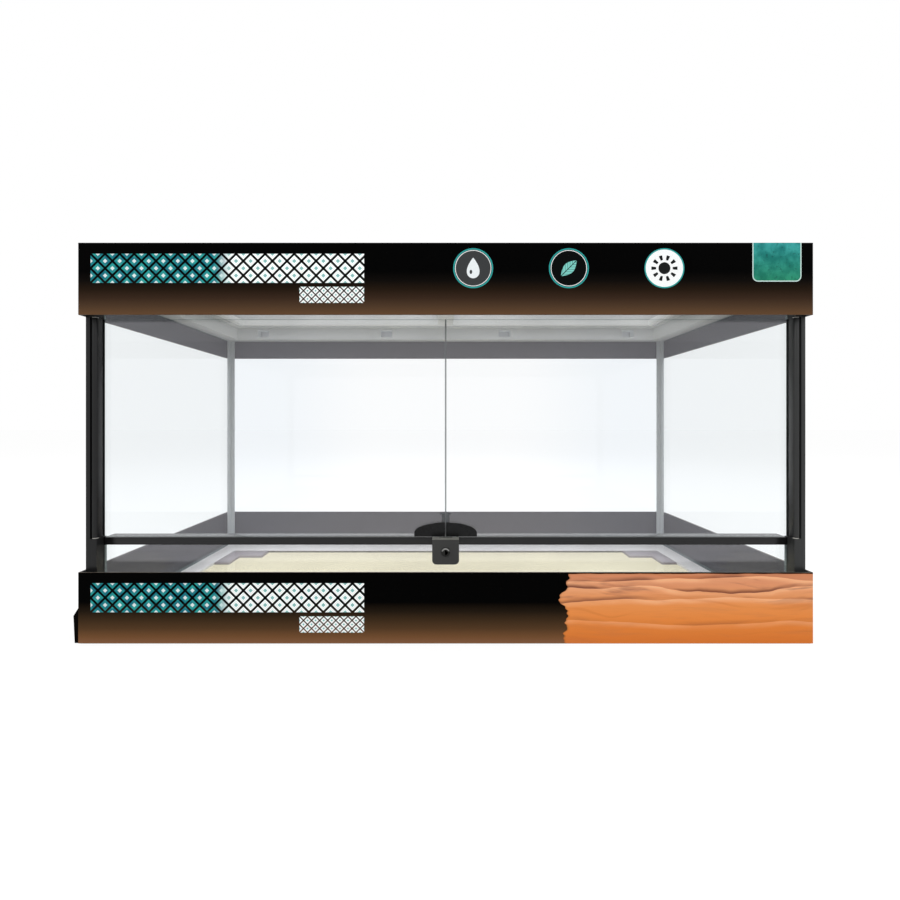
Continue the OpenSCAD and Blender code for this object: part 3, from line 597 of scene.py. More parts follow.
class CardPrint:
    """A card band while it is printed: its graph, its colour so far and a mask of its front face."""

    def __init__(self, graph: Graph, ground: Signal, front_y: float) -> None:
        """Start from the ground colour.

        Args:
            graph: The material's graph.
            ground: Colour below all figures.
            front_y: Y of the front face.
        """
        self.graph = graph
        self.colour = ground
        self.front_y = front_y
        self.front = graph.slide(graph.axes[1], (front_y, front_y + 0.2 * MM), FALLING)

    def ink(self, mask: Signal, colour: Shade) -> None:
        """Lay a colour where a mask is 1."""
        self.colour = self.graph.blend(mask, self.colour, colour)

    def ink_front(self, mask: Signal, colour: Shade) -> None:
        """Lay a colour where a mask is 1 on the front face only."""
        self.ink(mask * self.front, colour)


@dataclass(frozen=True)
class Frieze:
    """A strip of diamond scales, which turn from teal to pale along one stretch of it."""

    x: Span
    z: Span
    pitch: float
    turn: Span
    tile_edge: Span = (0.37, 0.41)
    core_edge: Span = (0.13, 0.17)
    core_cover: float = 0.75

    def lay(self, card: CardPrint) -> None:
        """Print the strip.

        Args:
            card: The band that it is printed on.
        """
        g = card.graph
        x, _, z = g.axes
        across = (x - self.x[0]) / self.pitch
        up = (z - self.z[0]) / self.pitch
        cell = abs((across + up).fract() - 0.5).larger(abs((across - up).fract() - 0.5))
        side = abs(x - sum(self.x) / 2) - (self.x[1] - self.x[0]) / 2
        rise = abs(z - sum(self.z) / 2) - (self.z[1] - self.z[0]) / 2
        teal = g.blend(g.slide(g.noise(150.0, 4.0), (0.35, 0.65)), TEAL_DEEP, TEAL)
        turned = g.slide(x, self.turn)
        core = g.slide(cell, self.core_edge, FALLING) * self.core_cover
        ink = g.blend(core, g.blend(turned, teal, PALE), g.blend(turned, PALE, TEAL))
        card.ink_front(g.slide(cell, self.tile_edge, FALLING) * g.inside(side.larger(rise)), ink)


class Motif(Enum):
    """Simple figures that fill the round marks on the card."""

    DROP = "drop"
    LEAF = "leaf"
    SUN = "sun"


@dataclass(frozen=True)
class Drop:
    """Sizes of the drop and of the glint on it."""

    span: Span = (-12.5 * MM, 13.5 * MM)
    half: float = 8.2 * MM
    outline: float = 0.3 * MM
    glint: Span = (-2.8 * MM, -4.6 * MM)
    glint_radius: float = 2.6 * MM
    glint_squeeze: float = 1.6

    def mask(self, x: Signal, z: Signal) -> Signal:
        """Tell where the drop is.

        Args:
            x: Distance to the right of the mark's middle.
            z: Distance above it.

        Returns:
            1 inside the drop.
        """
        g = x.graph
        rise = g.slide(z, self.span, smooth=False)
        # The square root of t times 1 - t peaks at 0.385, where the drop is widest.
        wide = rise.sqrt() * (1.0 - rise) * (self.half / 0.385)
        right, up = self.glint
        away = (((x - right) * self.glint_squeeze) ** 2.0 + (z - up) ** 2.0).sqrt()
        return g.inside(abs(x) - wide + self.outline) * (1.0 - g.inside(away - self.glint_radius))


@dataclass(frozen=True)
class Leaf:
    """Sizes of the leaf, which lies along the rising diagonal, and of its veins."""

    half_length: float = 14.0 * MM
    half_width: float = 6.6 * MM
    rib_half: float = 0.45 * MM
    vein_pitch: float = 4.2 * MM
    vein_half: float = 0.28 * MM

    def mask(self, x: Signal, z: Signal) -> Signal:
        """Tell where the leaf is.

        Args:
            x: Distance to the right of the mark's middle.
            z: Distance above it.

        Returns:
            1 inside the leaf.
        """
        g = x.graph
        along = (x + z) * math.sqrt(0.5)
        side = abs((z - x) * math.sqrt(0.5))
        part = g.slide(along, (-self.half_length, self.half_length), smooth=False)
        wide = (part * math.pi).sine() * self.half_width
        vein = abs(((along - side) / self.vein_pitch).fract() - 0.5) * self.vein_pitch
        leaf = g.inside(side - wide) * (1.0 - g.inside(side - self.rib_half))
        return leaf * (1.0 - g.inside(vein - self.vein_half))


@dataclass(frozen=True)
class Sun:
    """Sizes of the sun's disc and of its rays."""

    disc: float = 7.4 * MM
    ray_middle: float = 13.2 * MM
    ray_half: float = 3.0 * MM
    rays: float = 10.0
    ray_edge: Span = (0.1, 0.3)

    def mask(self, x: Signal, z: Signal) -> Signal:
        """Tell where the sun is.

        Args:
            x: Distance to the right of the mark's middle.
            z: Distance above it.

        Returns:
            1 inside the sun.
        """
        g = x.graph
        radius = (x * x + z * z).sqrt()
        rays = g.slide((g.maths("ARCTAN2", z, x) * self.rays).cosine(), self.ray_edge)
        beam = g.inside(abs(radius - self.ray_middle) - self.ray_half)
        return g.inside(radius - self.disc).larger(rays * beam)


FIGURES = {Motif.DROP: Drop(), Motif.LEAF: Leaf(), Motif.SUN: Sun()}


@dataclass(frozen=True)
class Mark:
    """A round mark on the card: its middle, its figure, its colours, its disc and its two rings."""

    x: float
    motif: Motif
    fill: Colour
    figure: Colour
    z: float = 0.4645
    disc: float = 24.6 * MM
    hoop: float = 22.0 * MM
    hoop_half: float = 0.35 * MM
    ring: float = 23.9 * MM
    ring_half: float = 0.8 * MM

    def lay(self, card: CardPrint) -> None:
        """Print the mark.

        Args:
            card: The band that it is printed on.
        """
        g = card.graph
        x = g.axes[0] - self.x
        z = g.axes[2] - self.z
        radius = (x * x + z * z).sqrt()
        card.ink_front(g.inside(radius - self.disc), self.fill)
        card.ink_front(FIGURES[self.motif].mask(x, z), self.figure)
        card.ink_front(g.inside(abs(radius - self.hoop) - self.hoop_half), PALE)
        card.ink_front(g.inside(abs(radius - self.ring) - self.ring_half), TEAL)


@dataclass(frozen=True)
class Badge:
    """A plain teal shield with rounded lower corners and a pale rim."""

    x: Span = (0.3796, 0.4402)
    z: Span = (0.4479, 0.4962)
    corner: float = 7.0 * MM
    rim: float = 1.3 * MM
    rim_colour: Colour = tone(190, 214, 208)
    speck_colour: Colour = tone(24, 62, 60)

    def lay(self, card: CardPrint) -> None:
        """Print the shield.

        Args:
            card: The band that it is printed on.
        """
        g = card.graph
        x, _, z = g.axes
        side = (abs(x - sum(self.x) / 2) - ((self.x[1] - self.x[0]) / 2 - self.corner)).larger(0.0)
        rise = ((self.z[0] + self.corner) - z).larger(0.0)
        distance = (side * side + rise * rise).sqrt() - self.corner
        fall = g.slide(z, self.z, smooth=False)
        blotch = g.slide(g.noise(60.0, 4.0), (0.35, 0.65))
        speck = g.slide(g.noise(260.0, 5.0, roughness=0.7), (0.56, 0.66))
        teal = g.blend(blotch, g.blend(fall, tone(33, 112, 88), tone(30, 112, 112)),
                       g.blend(fall, tone(48, 138, 104), tone(60, 156, 154)))
        card.ink_front(g.inside(distance), self.rim_colour)
        card.ink_front(g.inside(distance + self.rim), g.blend(speck * 0.55, teal, self.speck_colour))


@dataclass(frozen=True)
class Ridge:
    """One dune ridge: its height, its swell, its pace along the band, its seed and its contrast."""

    level: float
    swell: float
    pace: float
    seed: float
    depth: float
    valley: float = 6.5 * MM
    lip: float = 8.0 * MM
    valley_colour: Colour = tone(120, 74, 58)
    lip_colour: Colour = tone(244, 182, 136)

    def shade(self, g: Graph, length: Signal, z: Signal, light: Signal) -> Signal:
        """Draw the ridge's lit crest over the dusky valley behind it.

        Args:
            g: The material's graph.
            length: Distance along the band.
            z: Height on the band.
            light: Colour below.

        Returns:
            The new colour.
        """
        bend = g.noise(1.0, 4.0, g.joined(length * self.pace, self.seed, 0.0), 0.42)
        above = z - (bend - 0.5) * self.swell - self.level
        veil = g.slide(g.noise(1.0, 3.0, g.joined(length * 10.0, self.seed, above * 50.0)), (0.42, 0.6))
        valley = g.slide(above, (0.0, self.valley), FALLING) * g.slide(above, (-0.3 * MM, 0.2 * MM))
        lip = g.slide(above, (-self.lip, -0.2 * MM)) * g.slide(above, (0.2 * MM, -0.3 * MM))
        light = g.blend(valley * (veil * 0.85 + 0.15) * self.depth, light, self.valley_colour)
        return g.blend(lip * (1.0 - veil * 0.6) * self.depth * 0.9, light, self.lip_colour)


@dataclass(frozen=True)
class Desert:
    """A desert of overlapping dune ridges over the right-hand end of the band.

    Its ragged edge swings by cliff and steps, and scattered stones lie round one height. A dark
    rind follows the edge. The ground's light is given from the foot of the band to its top.
    """

    edge: float = 0.150
    cliff: float = 70.0 * MM
    steps: float = 9.0 * MM
    rind: float = 3.0 * MM
    rind_cover: float = 0.35
    top: float = 86.4 * MM
    top_swing: float = 2.0 * MM
    height: float = 88.0 * MM
    stones: float = 34.0 * MM
    stones_half: float = 9.0 * MM
    ground: Stops = (
        (0.0, tone(206, 114, 50)), (0.3, tone(218, 129, 62)), (0.52, tone(222, 140, 78)),
        (0.7, tone(220, 148, 100)), (0.86, tone(212, 142, 104)), (1.0, tone(196, 126, 90)))
    ridges: tuple[Ridge, ...] = (
        Ridge(80.0 * MM, 22.0 * MM, 6.0, 1.3, 0.9),
        Ridge(67.0 * MM, 40.0 * MM, 7.0, 4.1, 1.0),
        Ridge(52.0 * MM, 38.0 * MM, 5.0, 8.7, 0.8),
        Ridge(27.0 * MM, 44.0 * MM, 4.0, 12.9, 0.4))

    def lay(self, card: CardPrint) -> None:
        """Print the desert.

        Args:
            card: The band that it is printed on.
        """
        g = card.graph
        x, y, z = g.axes
        # The print runs on round the corner, so the length is measured round it.
        length = x + (y - card.front_y).larger(0.0)
        level = g.joined(0.0, 0.0, z)
        edge = (self.edge + (g.noise(26.0, 3.0, level, 0.55) - 0.5) * self.cliff
                + (g.noise(120.0, 1.0, level) - 0.5) * self.steps)
        top = self.top + (g.noise(30.0, 3.0, g.joined(length, 3.0, 0.0)) - 0.5) * self.top_swing
        rise = z * (1.0 / self.height)
        wave = g.noise(4.0, 3.0, g.joined(length, 0.0, z))
        light = g.ramp(rise, self.ground)
        for ridge in self.ridges:
            light = ridge.shade(g, length, z, light)

        def drawn(run: float, climb: float, seed: float, detail: float = 3.0, drift: float = 0.0,
                  roughness: float = 0.5) -> Signal:
            """Noise drawn out along the band, with so many cells to the metre along it and up it."""
            rising = z * climb + wave * drift if drift else z * climb
            return g.noise(1.0, detail, g.joined(length * run, seed, rising), roughness)

        dusk = drawn(run=8.0, climb=70.0, seed=7.0, detail=4.0, drift=3.0, roughness=0.55)
        streak = g.slide(drawn(run=5.0, climb=90.0, seed=3.0, drift=8.0), (0.56, 0.7))
        ripple = drawn(run=26.0, climb=420.0, seed=2.0, drift=12.0) - 0.5
        stone = g.slide(drawn(run=52.0, climb=210.0, seed=9.0, detail=2.0), (0.70, 0.77))
        stony = g.inside(abs(z - self.stones) - self.stones_half, 3.0 * MM)
        by_edge = g.slide(length - edge, (0.0, self.rind), (self.rind_cover, 0.0))
        light = g.blend(g.slide(dusk, (0.52, 0.64)) * g.slide(rise, (0.5, 0.75), (0.12, 0.7)), light,
                        tone(150, 97, 78))
        light = g.blend(streak * 0.3, light, tone(182, 98, 46))
        light = g.blend(ripple * 0.4, light, tone(176, 100, 56))
        light = g.blend(stone * stony * 0.8, light, tone(96, 50, 22))
        light = g.blend(by_edge, light, tone(120, 66, 36))
        card.ink(g.inside((edge - length).larger(z - top), 0.25 * MM), light)


@dataclass(frozen=True)
class PrintedCard(Finish):
    """Printed card: a dark to brown fade with layers of figures, satin varnish and raw cut edges."""

    fade_z: Span
    fade: Stops
    layers: tuple[Union[Frieze, Mark, Badge, Desert], ...] = ()
    front_y: float = -0.2296
    gain: float = 1.3

    def paint(self, g: Graph) -> None:
        """Build the finish.

        Args:
            g: The material's empty graph.
        """
        fibre = g.noise(420.0, 3.0, g.stretched((1.0, 1.0, 2.2)))
        grit = g.noise(1800.0, 1.0)
        card = CardPrint(g, g.ramp(g.slide(g.axes[2], self.fade_z, smooth=False), self.fade), self.front_y)
        for layer in self.layers:
            layer.lay(card)
        colour = g.blend((fibre - 0.5) * 0.03, g.scaled(card.colour, self.gain), VARNISH_DUST)
        cut = g.slide(abs(g.facing_up()), (0.6, 0.9))
        g.show(g.principled({
            "Base Color": g.blend(cut, colour, g.blend(fibre, BOARD_DARK, BOARD_PALE)),
            "Roughness": 0.46 + (fibre - 0.5) * 0.2 + cut * 0.3, "Specular IOR Level": 0.01,
            "Normal": g.bump(fibre + grit * 0.4, 0.02 * MM)}))


# ------------------------------------------------------------- this part's finishes

BLACK_FRAME = Moulded("black_frame_plastic", tone(26, 26, 27), rough=0.5, grain=0.05 * MM, grain_scale=1300.0)
LID_BLACK = BLACK_FRAME.variant("black_lid_plastic", colour=tone(30, 30, 31))
LATCH_BLACK = BLACK_FRAME.variant("dark_latch_plastic", colour=tone(48, 49, 50), rough=0.45, shine=0.35)
BLACK_TRIM = Moulded("black_trim_plastic", tone(24, 24, 25), rough=0.34, shine=0.22, grain=0.004 * MM,
                     grain_scale=1900.0, clouds=0.12, flow=(1.0, 1.0, 0.02))
# The right post and the right door's stile take a lighter copy of the black trim: painted light on the right.
LIT_RIGHT_TRIM = BLACK_TRIM.variant("lit_right_black_trim_plastic", colour=tone(42, 43, 43), rough=0.36, shine=0.3)
RAIL_TRIM = BLACK_TRIM.variant("black_rail_plastic", colour=tone(20, 20, 21), rough=0.24, shine=0.28,
                               grain=0.008 * MM, clouds=0.2, flow=(0.05, 1.0, 1.0))
BLACK_HANDLE = Moulded("black_handle_plastic", tone(13, 13, 14), rough=0.3, shine=0.16, grain=0.012 * MM,
                       grain_scale=1700.0)
LOCK_BLACK = Moulded("lock_plastic", tone(40, 40, 39), rough=0.4, shine=0.34, grain=0.02 * MM, clouds=0.15)
# The lock body's upward faces take a paler copy of its plastic: painted light on its top.
LOCK_LIT_TOP = LOCK_BLACK.variant("lit_top_lock_plastic", colour=tone(104, 104, 99), rough=0.42, clouds=0.12)
# The liner, sleeve, gate, lid and rim plastics and the mauve gussets glow a little: painted light that
# brightens the inside. The shaded rim and the bars take none.
LINER_GREY = Moulded("grey_liner_plastic", tone(207, 210, 211), rough=0.4, shine=0.35, grain=0.02 * MM,
                     clouds=0.05, glow=0.06)
SLEEVE_GREY = LINER_GREY.variant("grey_sleeve_plastic", colour=tone(214, 217, 218), glow=0.12)
GATE_GREY = LINER_GREY.variant("grey_gate_plastic", colour=tone(214, 216, 217), glow=0.13)
LID_GREY = LINER_GREY.variant("grey_lid_plastic", colour=tone(214, 216, 216), rough=0.42, glow=0.17)
RIM_GREY = LINER_GREY.variant("pale_rim_plastic", colour=tone(222, 221, 222), rough=0.42, clouds=0.04,
                              glow=0.2)
# Faces of the floor rim that look to the front take this darker copy: painted shade.
RIM_PAINTED_SHADE = LINER_GREY.variant("shaded_rim_plastic", colour=tone(128, 127, 118), rough=0.5, shine=0.3,
                               glow=0.0)
BAR_GREY = LINER_GREY.variant("grey_bar_plastic", colour=tone(193, 199, 203), rough=0.34, shine=0.4,
                              grain=0.015 * MM, flow=(1.0, 1.0, 0.06), glow=0.0)
GUSSET_MAUVE = Moulded("mauve_gusset_plastic", tone(166, 160, 165), rough=0.46, grain_scale=1300.0,
                       clouds=0.06, glow=0.1)
BUSH_NYLON = Moulded("nylon", tone(222, 220, 212), rough=0.4, shine=0.4, grain=0.01 * MM, clouds=0.03)
WIRE = BUSH_NYLON.variant("coated_mesh_wire", colour=tone(206, 208, 210), clouds=0.06)
# The barrel's upper rim is painted paler: a painted highlight on the same dark barrel.
BARREL_LIT_RIM = BUSH_NYLON.variant("lit_barrel_rim", colour=tone(126, 126, 124), shine=0.3, clouds=0.1)
BARREL_CORE = BARREL_LIT_RIM.variant("black_barrel_core", colour=tone(22, 22, 20), shine=0.2)
SMOKED = SmokedPlastic("smoked_stem_plastic")
STEEL = Metal("brushed_pin_steel", (0.62, 0.62, 0.63), rough=0.28)
# The cream foam's glow is painted light that brightens it.
FOAM_CREAM = Foam("cream_foam", tone(242, 235, 209), glow=0.24)
# The grey sealant's glow is painted light that evens out its shading.
GREY_BOND = Sealant("grey_sealant", tone(105, 103, 107), glow=0.3)
SEAL_GREY = Sealant("grey_door_seal", tone(118, 119, 121))
PANE = PaneGlass("clear_pane")
PANE_FLOOR = PANE.variant("clear_floor_pane", mirror=0.01, graze=0.3)
PANE_REAR = PANE.variant("clear_rear_pane", tint=(0.992, 0.998, 0.999), side_tint=(0.953, 0.972, 0.986),
                         mirror=0.012, graze=0.5)
PANE_SIDE = PANE.variant("clear_side_pane", tint=(0.941, 0.958, 0.962), mirror=0.01, graze=0.45)
PANE_EDGE = GroundEdge("ground_pane_edge")
POLISHED_EDGE = PANE_EDGE.variant("polished_pane_edge", cover=0.08, through=(0.95, 0.97, 0.97))


def friezes(wide: float, narrow: float) -> tuple[Frieze, Frieze]:
    """The wide strip and the narrow one under its right-hand end, from the heights of their feet."""
    right = -0.1008
    return (Frieze(x=(-0.4392, right), z=(wide, wide + 0.036), pitch=0.018, turn=(-0.286, -0.262)),
            Frieze(x=(-0.1808, right), z=(narrow, narrow + 0.020), pitch=0.010, turn=(-0.30, -0.29)))


UPPER_PRINT = PrintedCard(
    "upper_card_print", (0.407, 0.496),
    ((0.0, tone(92, 67, 46)), (0.12, tone(72, 53, 38)), (0.23, tone(52, 37, 27)),
     (0.35, tone(33, 23, 15)), (0.47, tone(13, 10, 8)), (0.6, tone(2, 2, 2))),
    (*friezes(0.4464, 0.4216),
     Mark(0.0341, Motif.DROP, tone(58, 60, 61), tone(222, 228, 230)),
     Mark(0.1525, Motif.LEAF, tone(10, 12, 12), tone(120, 196, 186)),
     Mark(0.2707, Motif.SUN, tone(238, 240, 240), tone(28, 30, 30)),
     Badge()))
LOWER_PRINT = PrintedCard(
    "lower_card_print", (0.0, 0.088),
    ((0.0, tone(126, 88, 62)), (0.10, tone(108, 74, 47)), (0.21, tone(79, 56, 36)),
     (0.33, tone(58, 42, 27)), (0.45, tone(32, 24, 16)), (0.58, tone(2, 2, 2))),
    (Desert(), *friezes(0.0388, 0.0138)))
TAB_PRINT = PrintedCard("black_card", (0.0, 0.088), ((0.0, tone(8, 6, 5)), (1.0, tone(2, 2, 2))))


# ------------------------------------------------------------ modelling helpers

HARD_EDGE = math.radians(35.0)
FLAT_ANGLE = math.radians(0.4)
# From these parts of its direction on, a face counts as looking along an axis.
SQUARELY = 0.99
NEARLY = 0.9
MOSTLY = 0.6
PARTLY = 0.5
SLIGHTLY = 0.2


def quiet() -> None:
    """Leave edit mode and select nothing."""
    if bpy.context.object and bpy.context.object.mode != "OBJECT":
        bpy.ops.object.mode_set(mode="OBJECT")
    bpy.ops.object.select_all(action="DESELECT")


def activate(piece: bpy.types.Object) -> None:
    """Select one piece alone and make it the active one.

    Args:
        piece: The piece.
    """
    quiet()
    piece.select_set(True)
    bpy.context.view_layer.objects.active = piece


def edit_all() -> None:
    """Enter edit mode with everything selected."""
    bpy.ops.object.mode_set(mode="EDIT")
    bpy.ops.mesh.select_all(action="SELECT")


def settled(name: str) -> bpy.types.Object:
    """Name the new primitive and put its place into its mesh.

    Args:
        name: Name of the piece.

    Returns:
        The piece.
    """
    made = bpy.context.object
    made.name = made.data.name = name
    bpy.ops.object.transform_apply(location=True, rotation=True, scale=True)
    return made


def bevel_edges(piece: bpy.types.Object, test: Callable[[Sequence[Vector]], bool], width: float,
                steps: int) -> None:
    """Bevel the edges of a piece that pass a test.

    Args:
        piece: The active piece.
        test: Test of an edge, given its two ends.
        width: Width of the bevel along each face.
        steps: Facets across the bevel.
    """
    mesh = piece.data
    for item in (*mesh.polygons, *mesh.edges, *mesh.vertices):
        item.select = False
    for edge in mesh.edges:
        if test([mesh.vertices[number].co for number in edge.vertices]):
            edge.select = True
    bpy.ops.object.mode_set(mode="EDIT")
    bpy.ops.mesh.select_mode(type="EDGE")
    bpy.ops.mesh.bevel(offset=width, offset_type="OFFSET", segments=steps)
    bpy.ops.object.mode_set(mode="OBJECT")


def finish_piece(piece: bpy.types.Object, body: str, finishes: Sequence[Finish], node: str,
                 smooth: Optional[float] = 30.0) -> None:
    """Shade a piece, dress it and hand it to its body.

    Args:
        piece: The piece.
        body: CAD body that it rides on.
        finishes: Finishes of its material slots.
        node: CAD node that it stands for.
        smooth: Edge angle in degrees up to which it is shaded smooth.
    """
    activate(piece)
    if smooth is not None:
        bpy.ops.object.shade_smooth_by_angle(angle=math.radians(smooth))
    piece.data.materials.clear()
    for finish in finishes:
        piece.data.materials.append(finish.material())
    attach(piece, body)
    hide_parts(node)
    log.info("%s: %d faces on %s", piece.name, len(piece.data.polygons), body)


def dress(node: str, finish: Finish) -> None:
    """Give a CAD node its finish.

    Args:
        node: Name of the node.
        finish: The finish.
    """
    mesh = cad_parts[node].data
    mesh.materials.clear()
    mesh.materials.append(finish.material())
    log.info("%s: %s", node, finish.name)


def node_copy(node: str, name: str) -> bpy.types.Object:
    """Copy a CAD node as a clean mesh with flat faces in one piece.

    Args:
        node: Name of the node.
        name: Name of the copy.

    Returns:
        The copy.
    """
    made = bpy.data.objects.new(name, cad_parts[node].data.copy())
    made.data.name = name
    bpy.context.collection.objects.link(made)
    activate(made)
    edit_all()
    bpy.ops.mesh.remove_doubles(threshold=0.01 * MM)
    bpy.ops.mesh.dissolve_limited(angle_limit=FLAT_ANGLE)
    bpy.ops.object.mode_set(mode="OBJECT")
    bpy.ops.mesh.customdata_custom_splitnormals_clear()
    return made


# --------------------------------------------------------------- sub-assemblies


@dataclass
class EasedPart:
    """A moulded part: its CAD node, its body, its finish and the size of its eased edges.

    Faces that pass its test take a second finish, and a cut splits the faces at a level first.
    """

    node: str
    body: str
    slot: str
    finish: Finish
    radius: float
    steps: int = 2
    second: Optional[Finish] = None
    where: Optional[FaceTest] = None
    cut_level: Optional[float] = None

    def build(self) -> None:
        """Copy the node, ease its edges as a mould leaves them and put it in the node's place."""
        made = node_copy(self.node, f"{self.node}_moulding")
        ease = made.modifiers.new("ease", "BEVEL")
        ease.width = self.radius
        ease.segments = self.steps
        ease.limit_method = "ANGLE"
        ease.angle_limit = HARD_EDGE
        ease.use_clamp_overlap = True
        ease.harden_normals = False
        bpy.ops.object.modifier_apply(modifier="ease")
        if self.cut_level is not None:
            edit_all()
            bpy.ops.mesh.bisect(plane_co=(0.0, 0.0, self.cut_level), plane_no=(0.0, 0.0, 1.0))
            bpy.ops.object.mode_set(mode="OBJECT")
        finishes = (self.finish, self.second) if self.second else (self.finish,)
        finish_piece(made, self.body, finishes, self.node)
        for face in made.data.polygons:
            face.material_index = 1 if self.where and self.where(face) else 0


@dataclass
class Pane:
    """A float glass pane with ground, seamed edges.

    Its polished edges are given by 1 for the top and -1 for the bottom.
    """

    node: str
    body: str
    seam: float = 0.6 * MM
    finish: Finish = PANE
    polished: tuple[int, ...] = ()

    def build(self) -> None:
        """Cut the pane to its node's box and seam its edges."""
        low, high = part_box(self.node)
        size = high - low
        thin = min(range(3), key=lambda axis: size[axis])
        quiet()
        bpy.ops.mesh.primitive_cube_add(size=1.0, location=(low + high) / 2, scale=size)
        made = settled(f"{self.node}_pane")
        bevel_edges(made, lambda ends: abs(ends[0][thin] - ends[1][thin]) < 0.001 * MM, self.seam, 1)
        finishes = (self.finish, PANE_EDGE, POLISHED_EDGE) if self.polished else (self.finish, PANE_EDGE)
        finish_piece(made, self.body, finishes, self.node, smooth=None)
        for face in made.data.polygons:
            face.material_index = 0 if abs(face.normal[thin]) > SQUARELY else 1
            if any(face.normal.z * side > PARTLY for side in self.polished):
                face.material_index = 2


@dataclass
class WireScreen:
    """A welded wire screen: two layers of straight wires that cross and sink into each other."""

    node: str
    body: str
    pitch: float = 2.6 * MM
    wire: float = 0.62 * MM
    sides: int = 6
    weld: float = 0.8

    def build(self) -> None:
        """Lay one wire each way, repeat it over the node's box and join the two layers."""
        low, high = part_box(self.node)
        middle = (low.z + high.z) / 2
        layers = [self._layer(low, high, axis, middle + (0.5 - axis) * self.wire * self.weld)
                  for axis in (0, 1)]
        activate(layers[0])
        layers[1].select_set(True)
        bpy.ops.object.join()
        finish_piece(layers[0], self.body, (WIRE,), self.node, smooth=50.0)

    def _layer(self, low: Vector, high: Vector, axis: int, level: float) -> bpy.types.Object:
        """Wires that run one way.

        Args:
            low: Lowest corner of the screen.
            high: Highest corner.
            axis: 0 for wires along X, 1 for wires along Y.
            level: Height of their middle.

        Returns:
            The layer as one piece.
        """
        quiet()
        other = 1 - axis
        room = high[other] - low[other] - self.wire
        count = int(room / self.pitch)
        start = Vector(((low.x + high.x) / 2, (low.y + high.y) / 2, level))
        start[other] = low[other] + self.wire / 2
        turn = (0.0, math.pi / 2, 0.0) if axis == 0 else (math.pi / 2, 0.0, 0.0)
        bpy.ops.mesh.primitive_cylinder_add(
            vertices=self.sides, radius=self.wire / 2, depth=high[axis] - low[axis], location=start,
            rotation=turn)
        made = settled(f"{self.node}_{('screen', 'cross_wires')[axis]}")
        row = made.modifiers.new("row", "ARRAY")
        row.use_relative_offset = False
        row.use_constant_offset = True
        row.constant_offset_displace = [room / count if number == other else 0.0 for number in range(3)]
        row.count = count + 1
        bpy.ops.object.modifier_apply(modifier="row")
        return made


@dataclass
class LowerFrame:
    """Moulded base with its rim, foam, gussets and bond."""

    ease: float = 0.5 * MM
    foam_ease: float = 0.4 * MM

    def build(self) -> None:
        """Build the mouldings and dress the bond."""
        EasedPart("base_frame", "root", "frame_plastic", BLACK_FRAME, self.ease).build()
        # The rim's faces that look to the front are painted darker: painted shade.
        EasedPart("floor_rim", "root", "liner_plastic", RIM_GREY, self.ease, second=RIM_PAINTED_SHADE,
                  where=lambda face: face.normal.y < -NEARLY).build()
        EasedPart("corner_gussets", "root", "gusset_plastic", GUSSET_MAUVE, self.ease).build()
        EasedPart("floor_panel", "root", "foam", FOAM_CREAM, self.foam_ease, steps=1).build()
        dress("lower_bond_strips", GREY_BOND)


@dataclass
class UpperFrame:
    """Moulded top with its liner and bond."""

    ease: float = 0.35 * MM
    sleeve_ease: float = 0.3 * MM

    def build(self) -> None:
        """Build the mouldings and dress the rear wall and the bond."""
        for node in ("top_frame", "top_deck", "gate_guides"):
            EasedPart(node, "root", "frame_plastic", BLACK_FRAME, self.ease).build()
        for node in ("rear_rails", "rear_piers"):
            dress(node, BLACK_FRAME)
        for node in ("top_flange", "top_riser", "lid_seat"):
            EasedPart(node, "root", "liner_plastic", LINER_GREY, self.ease).build()
        EasedPart("port_sleeves", "root", "liner_plastic", SLEEVE_GREY, self.sleeve_ease).build()
        dress("upper_bond_strips", GREY_BOND)


@dataclass
class Glazing:
    """The fixed panes."""

    front_seam: float = 0.3 * MM

    def build(self) -> None:
        """Build every fixed pane."""
        Pane("floor_glass", "root", finish=PANE_FLOOR).build()
        Pane("front_lower_glass", "root").build()
        Pane("front_upper_glass", "root", self.front_seam, polished=(-1,)).build()
        Pane("back_glass", "root", finish=PANE_REAR).build()
        for node in ("left_glass", "right_glass"):
            Pane(node, "root", finish=PANE_SIDE).build()


@dataclass
class FrontTrim:
    """Corner posts, rear bars, bushes and the rail under the doors."""

    post_ease: float = 1.2 * MM
    rail_ease: float = 0.5 * MM
    bar_ease: float = 0.6 * MM

    def build(self) -> None:
        """Build the posts, the rail and the bars, and dress the small parts."""
        # The right side takes the lighter trim, painted light.
        for side, finish in (("left", BLACK_TRIM), ("right", LIT_RIGHT_TRIM)):
            EasedPart(f"front_{side}_post", "root", "trim_plastic", finish, self.post_ease, 4).build()
        EasedPart("sill_rail", "root", "trim_plastic", RAIL_TRIM, self.rail_ease, 3).build()
        EasedPart("rear_corner_bars", "root", "bar_plastic", BAR_GREY, self.bar_ease).build()
        dress("hinge_bushes", BUSH_NYLON)
        dress("door_seal", SEAL_GREY)


@dataclass
class Door:
    """One hinged door: glass, stile, pins and a handle that is smoked above its stem level."""

    side: str
    trim: Finish
    stem_level: float = 0.1463
    seam: float = 0.3 * MM
    stile_ease: float = 0.8 * MM
    handle_ease: float = 0.5 * MM

    def build(self) -> None:
        """Build the door's pieces."""
        body = f"{self.side}_door"
        Pane(f"{body}_glass", body, self.seam, polished=(1, -1)).build()
        EasedPart(f"{body}_stile", body, "trim_plastic", self.trim, self.stile_ease, 3).build()
        EasedPart(f"{body}_handle", body, "handle_plastic", BLACK_HANDLE, self.handle_ease, 3, SMOKED,
                  lambda face: face.center.z > self.stem_level, self.stem_level).build()
        dress(f"{self.side}_hinge_pins", STEEL)


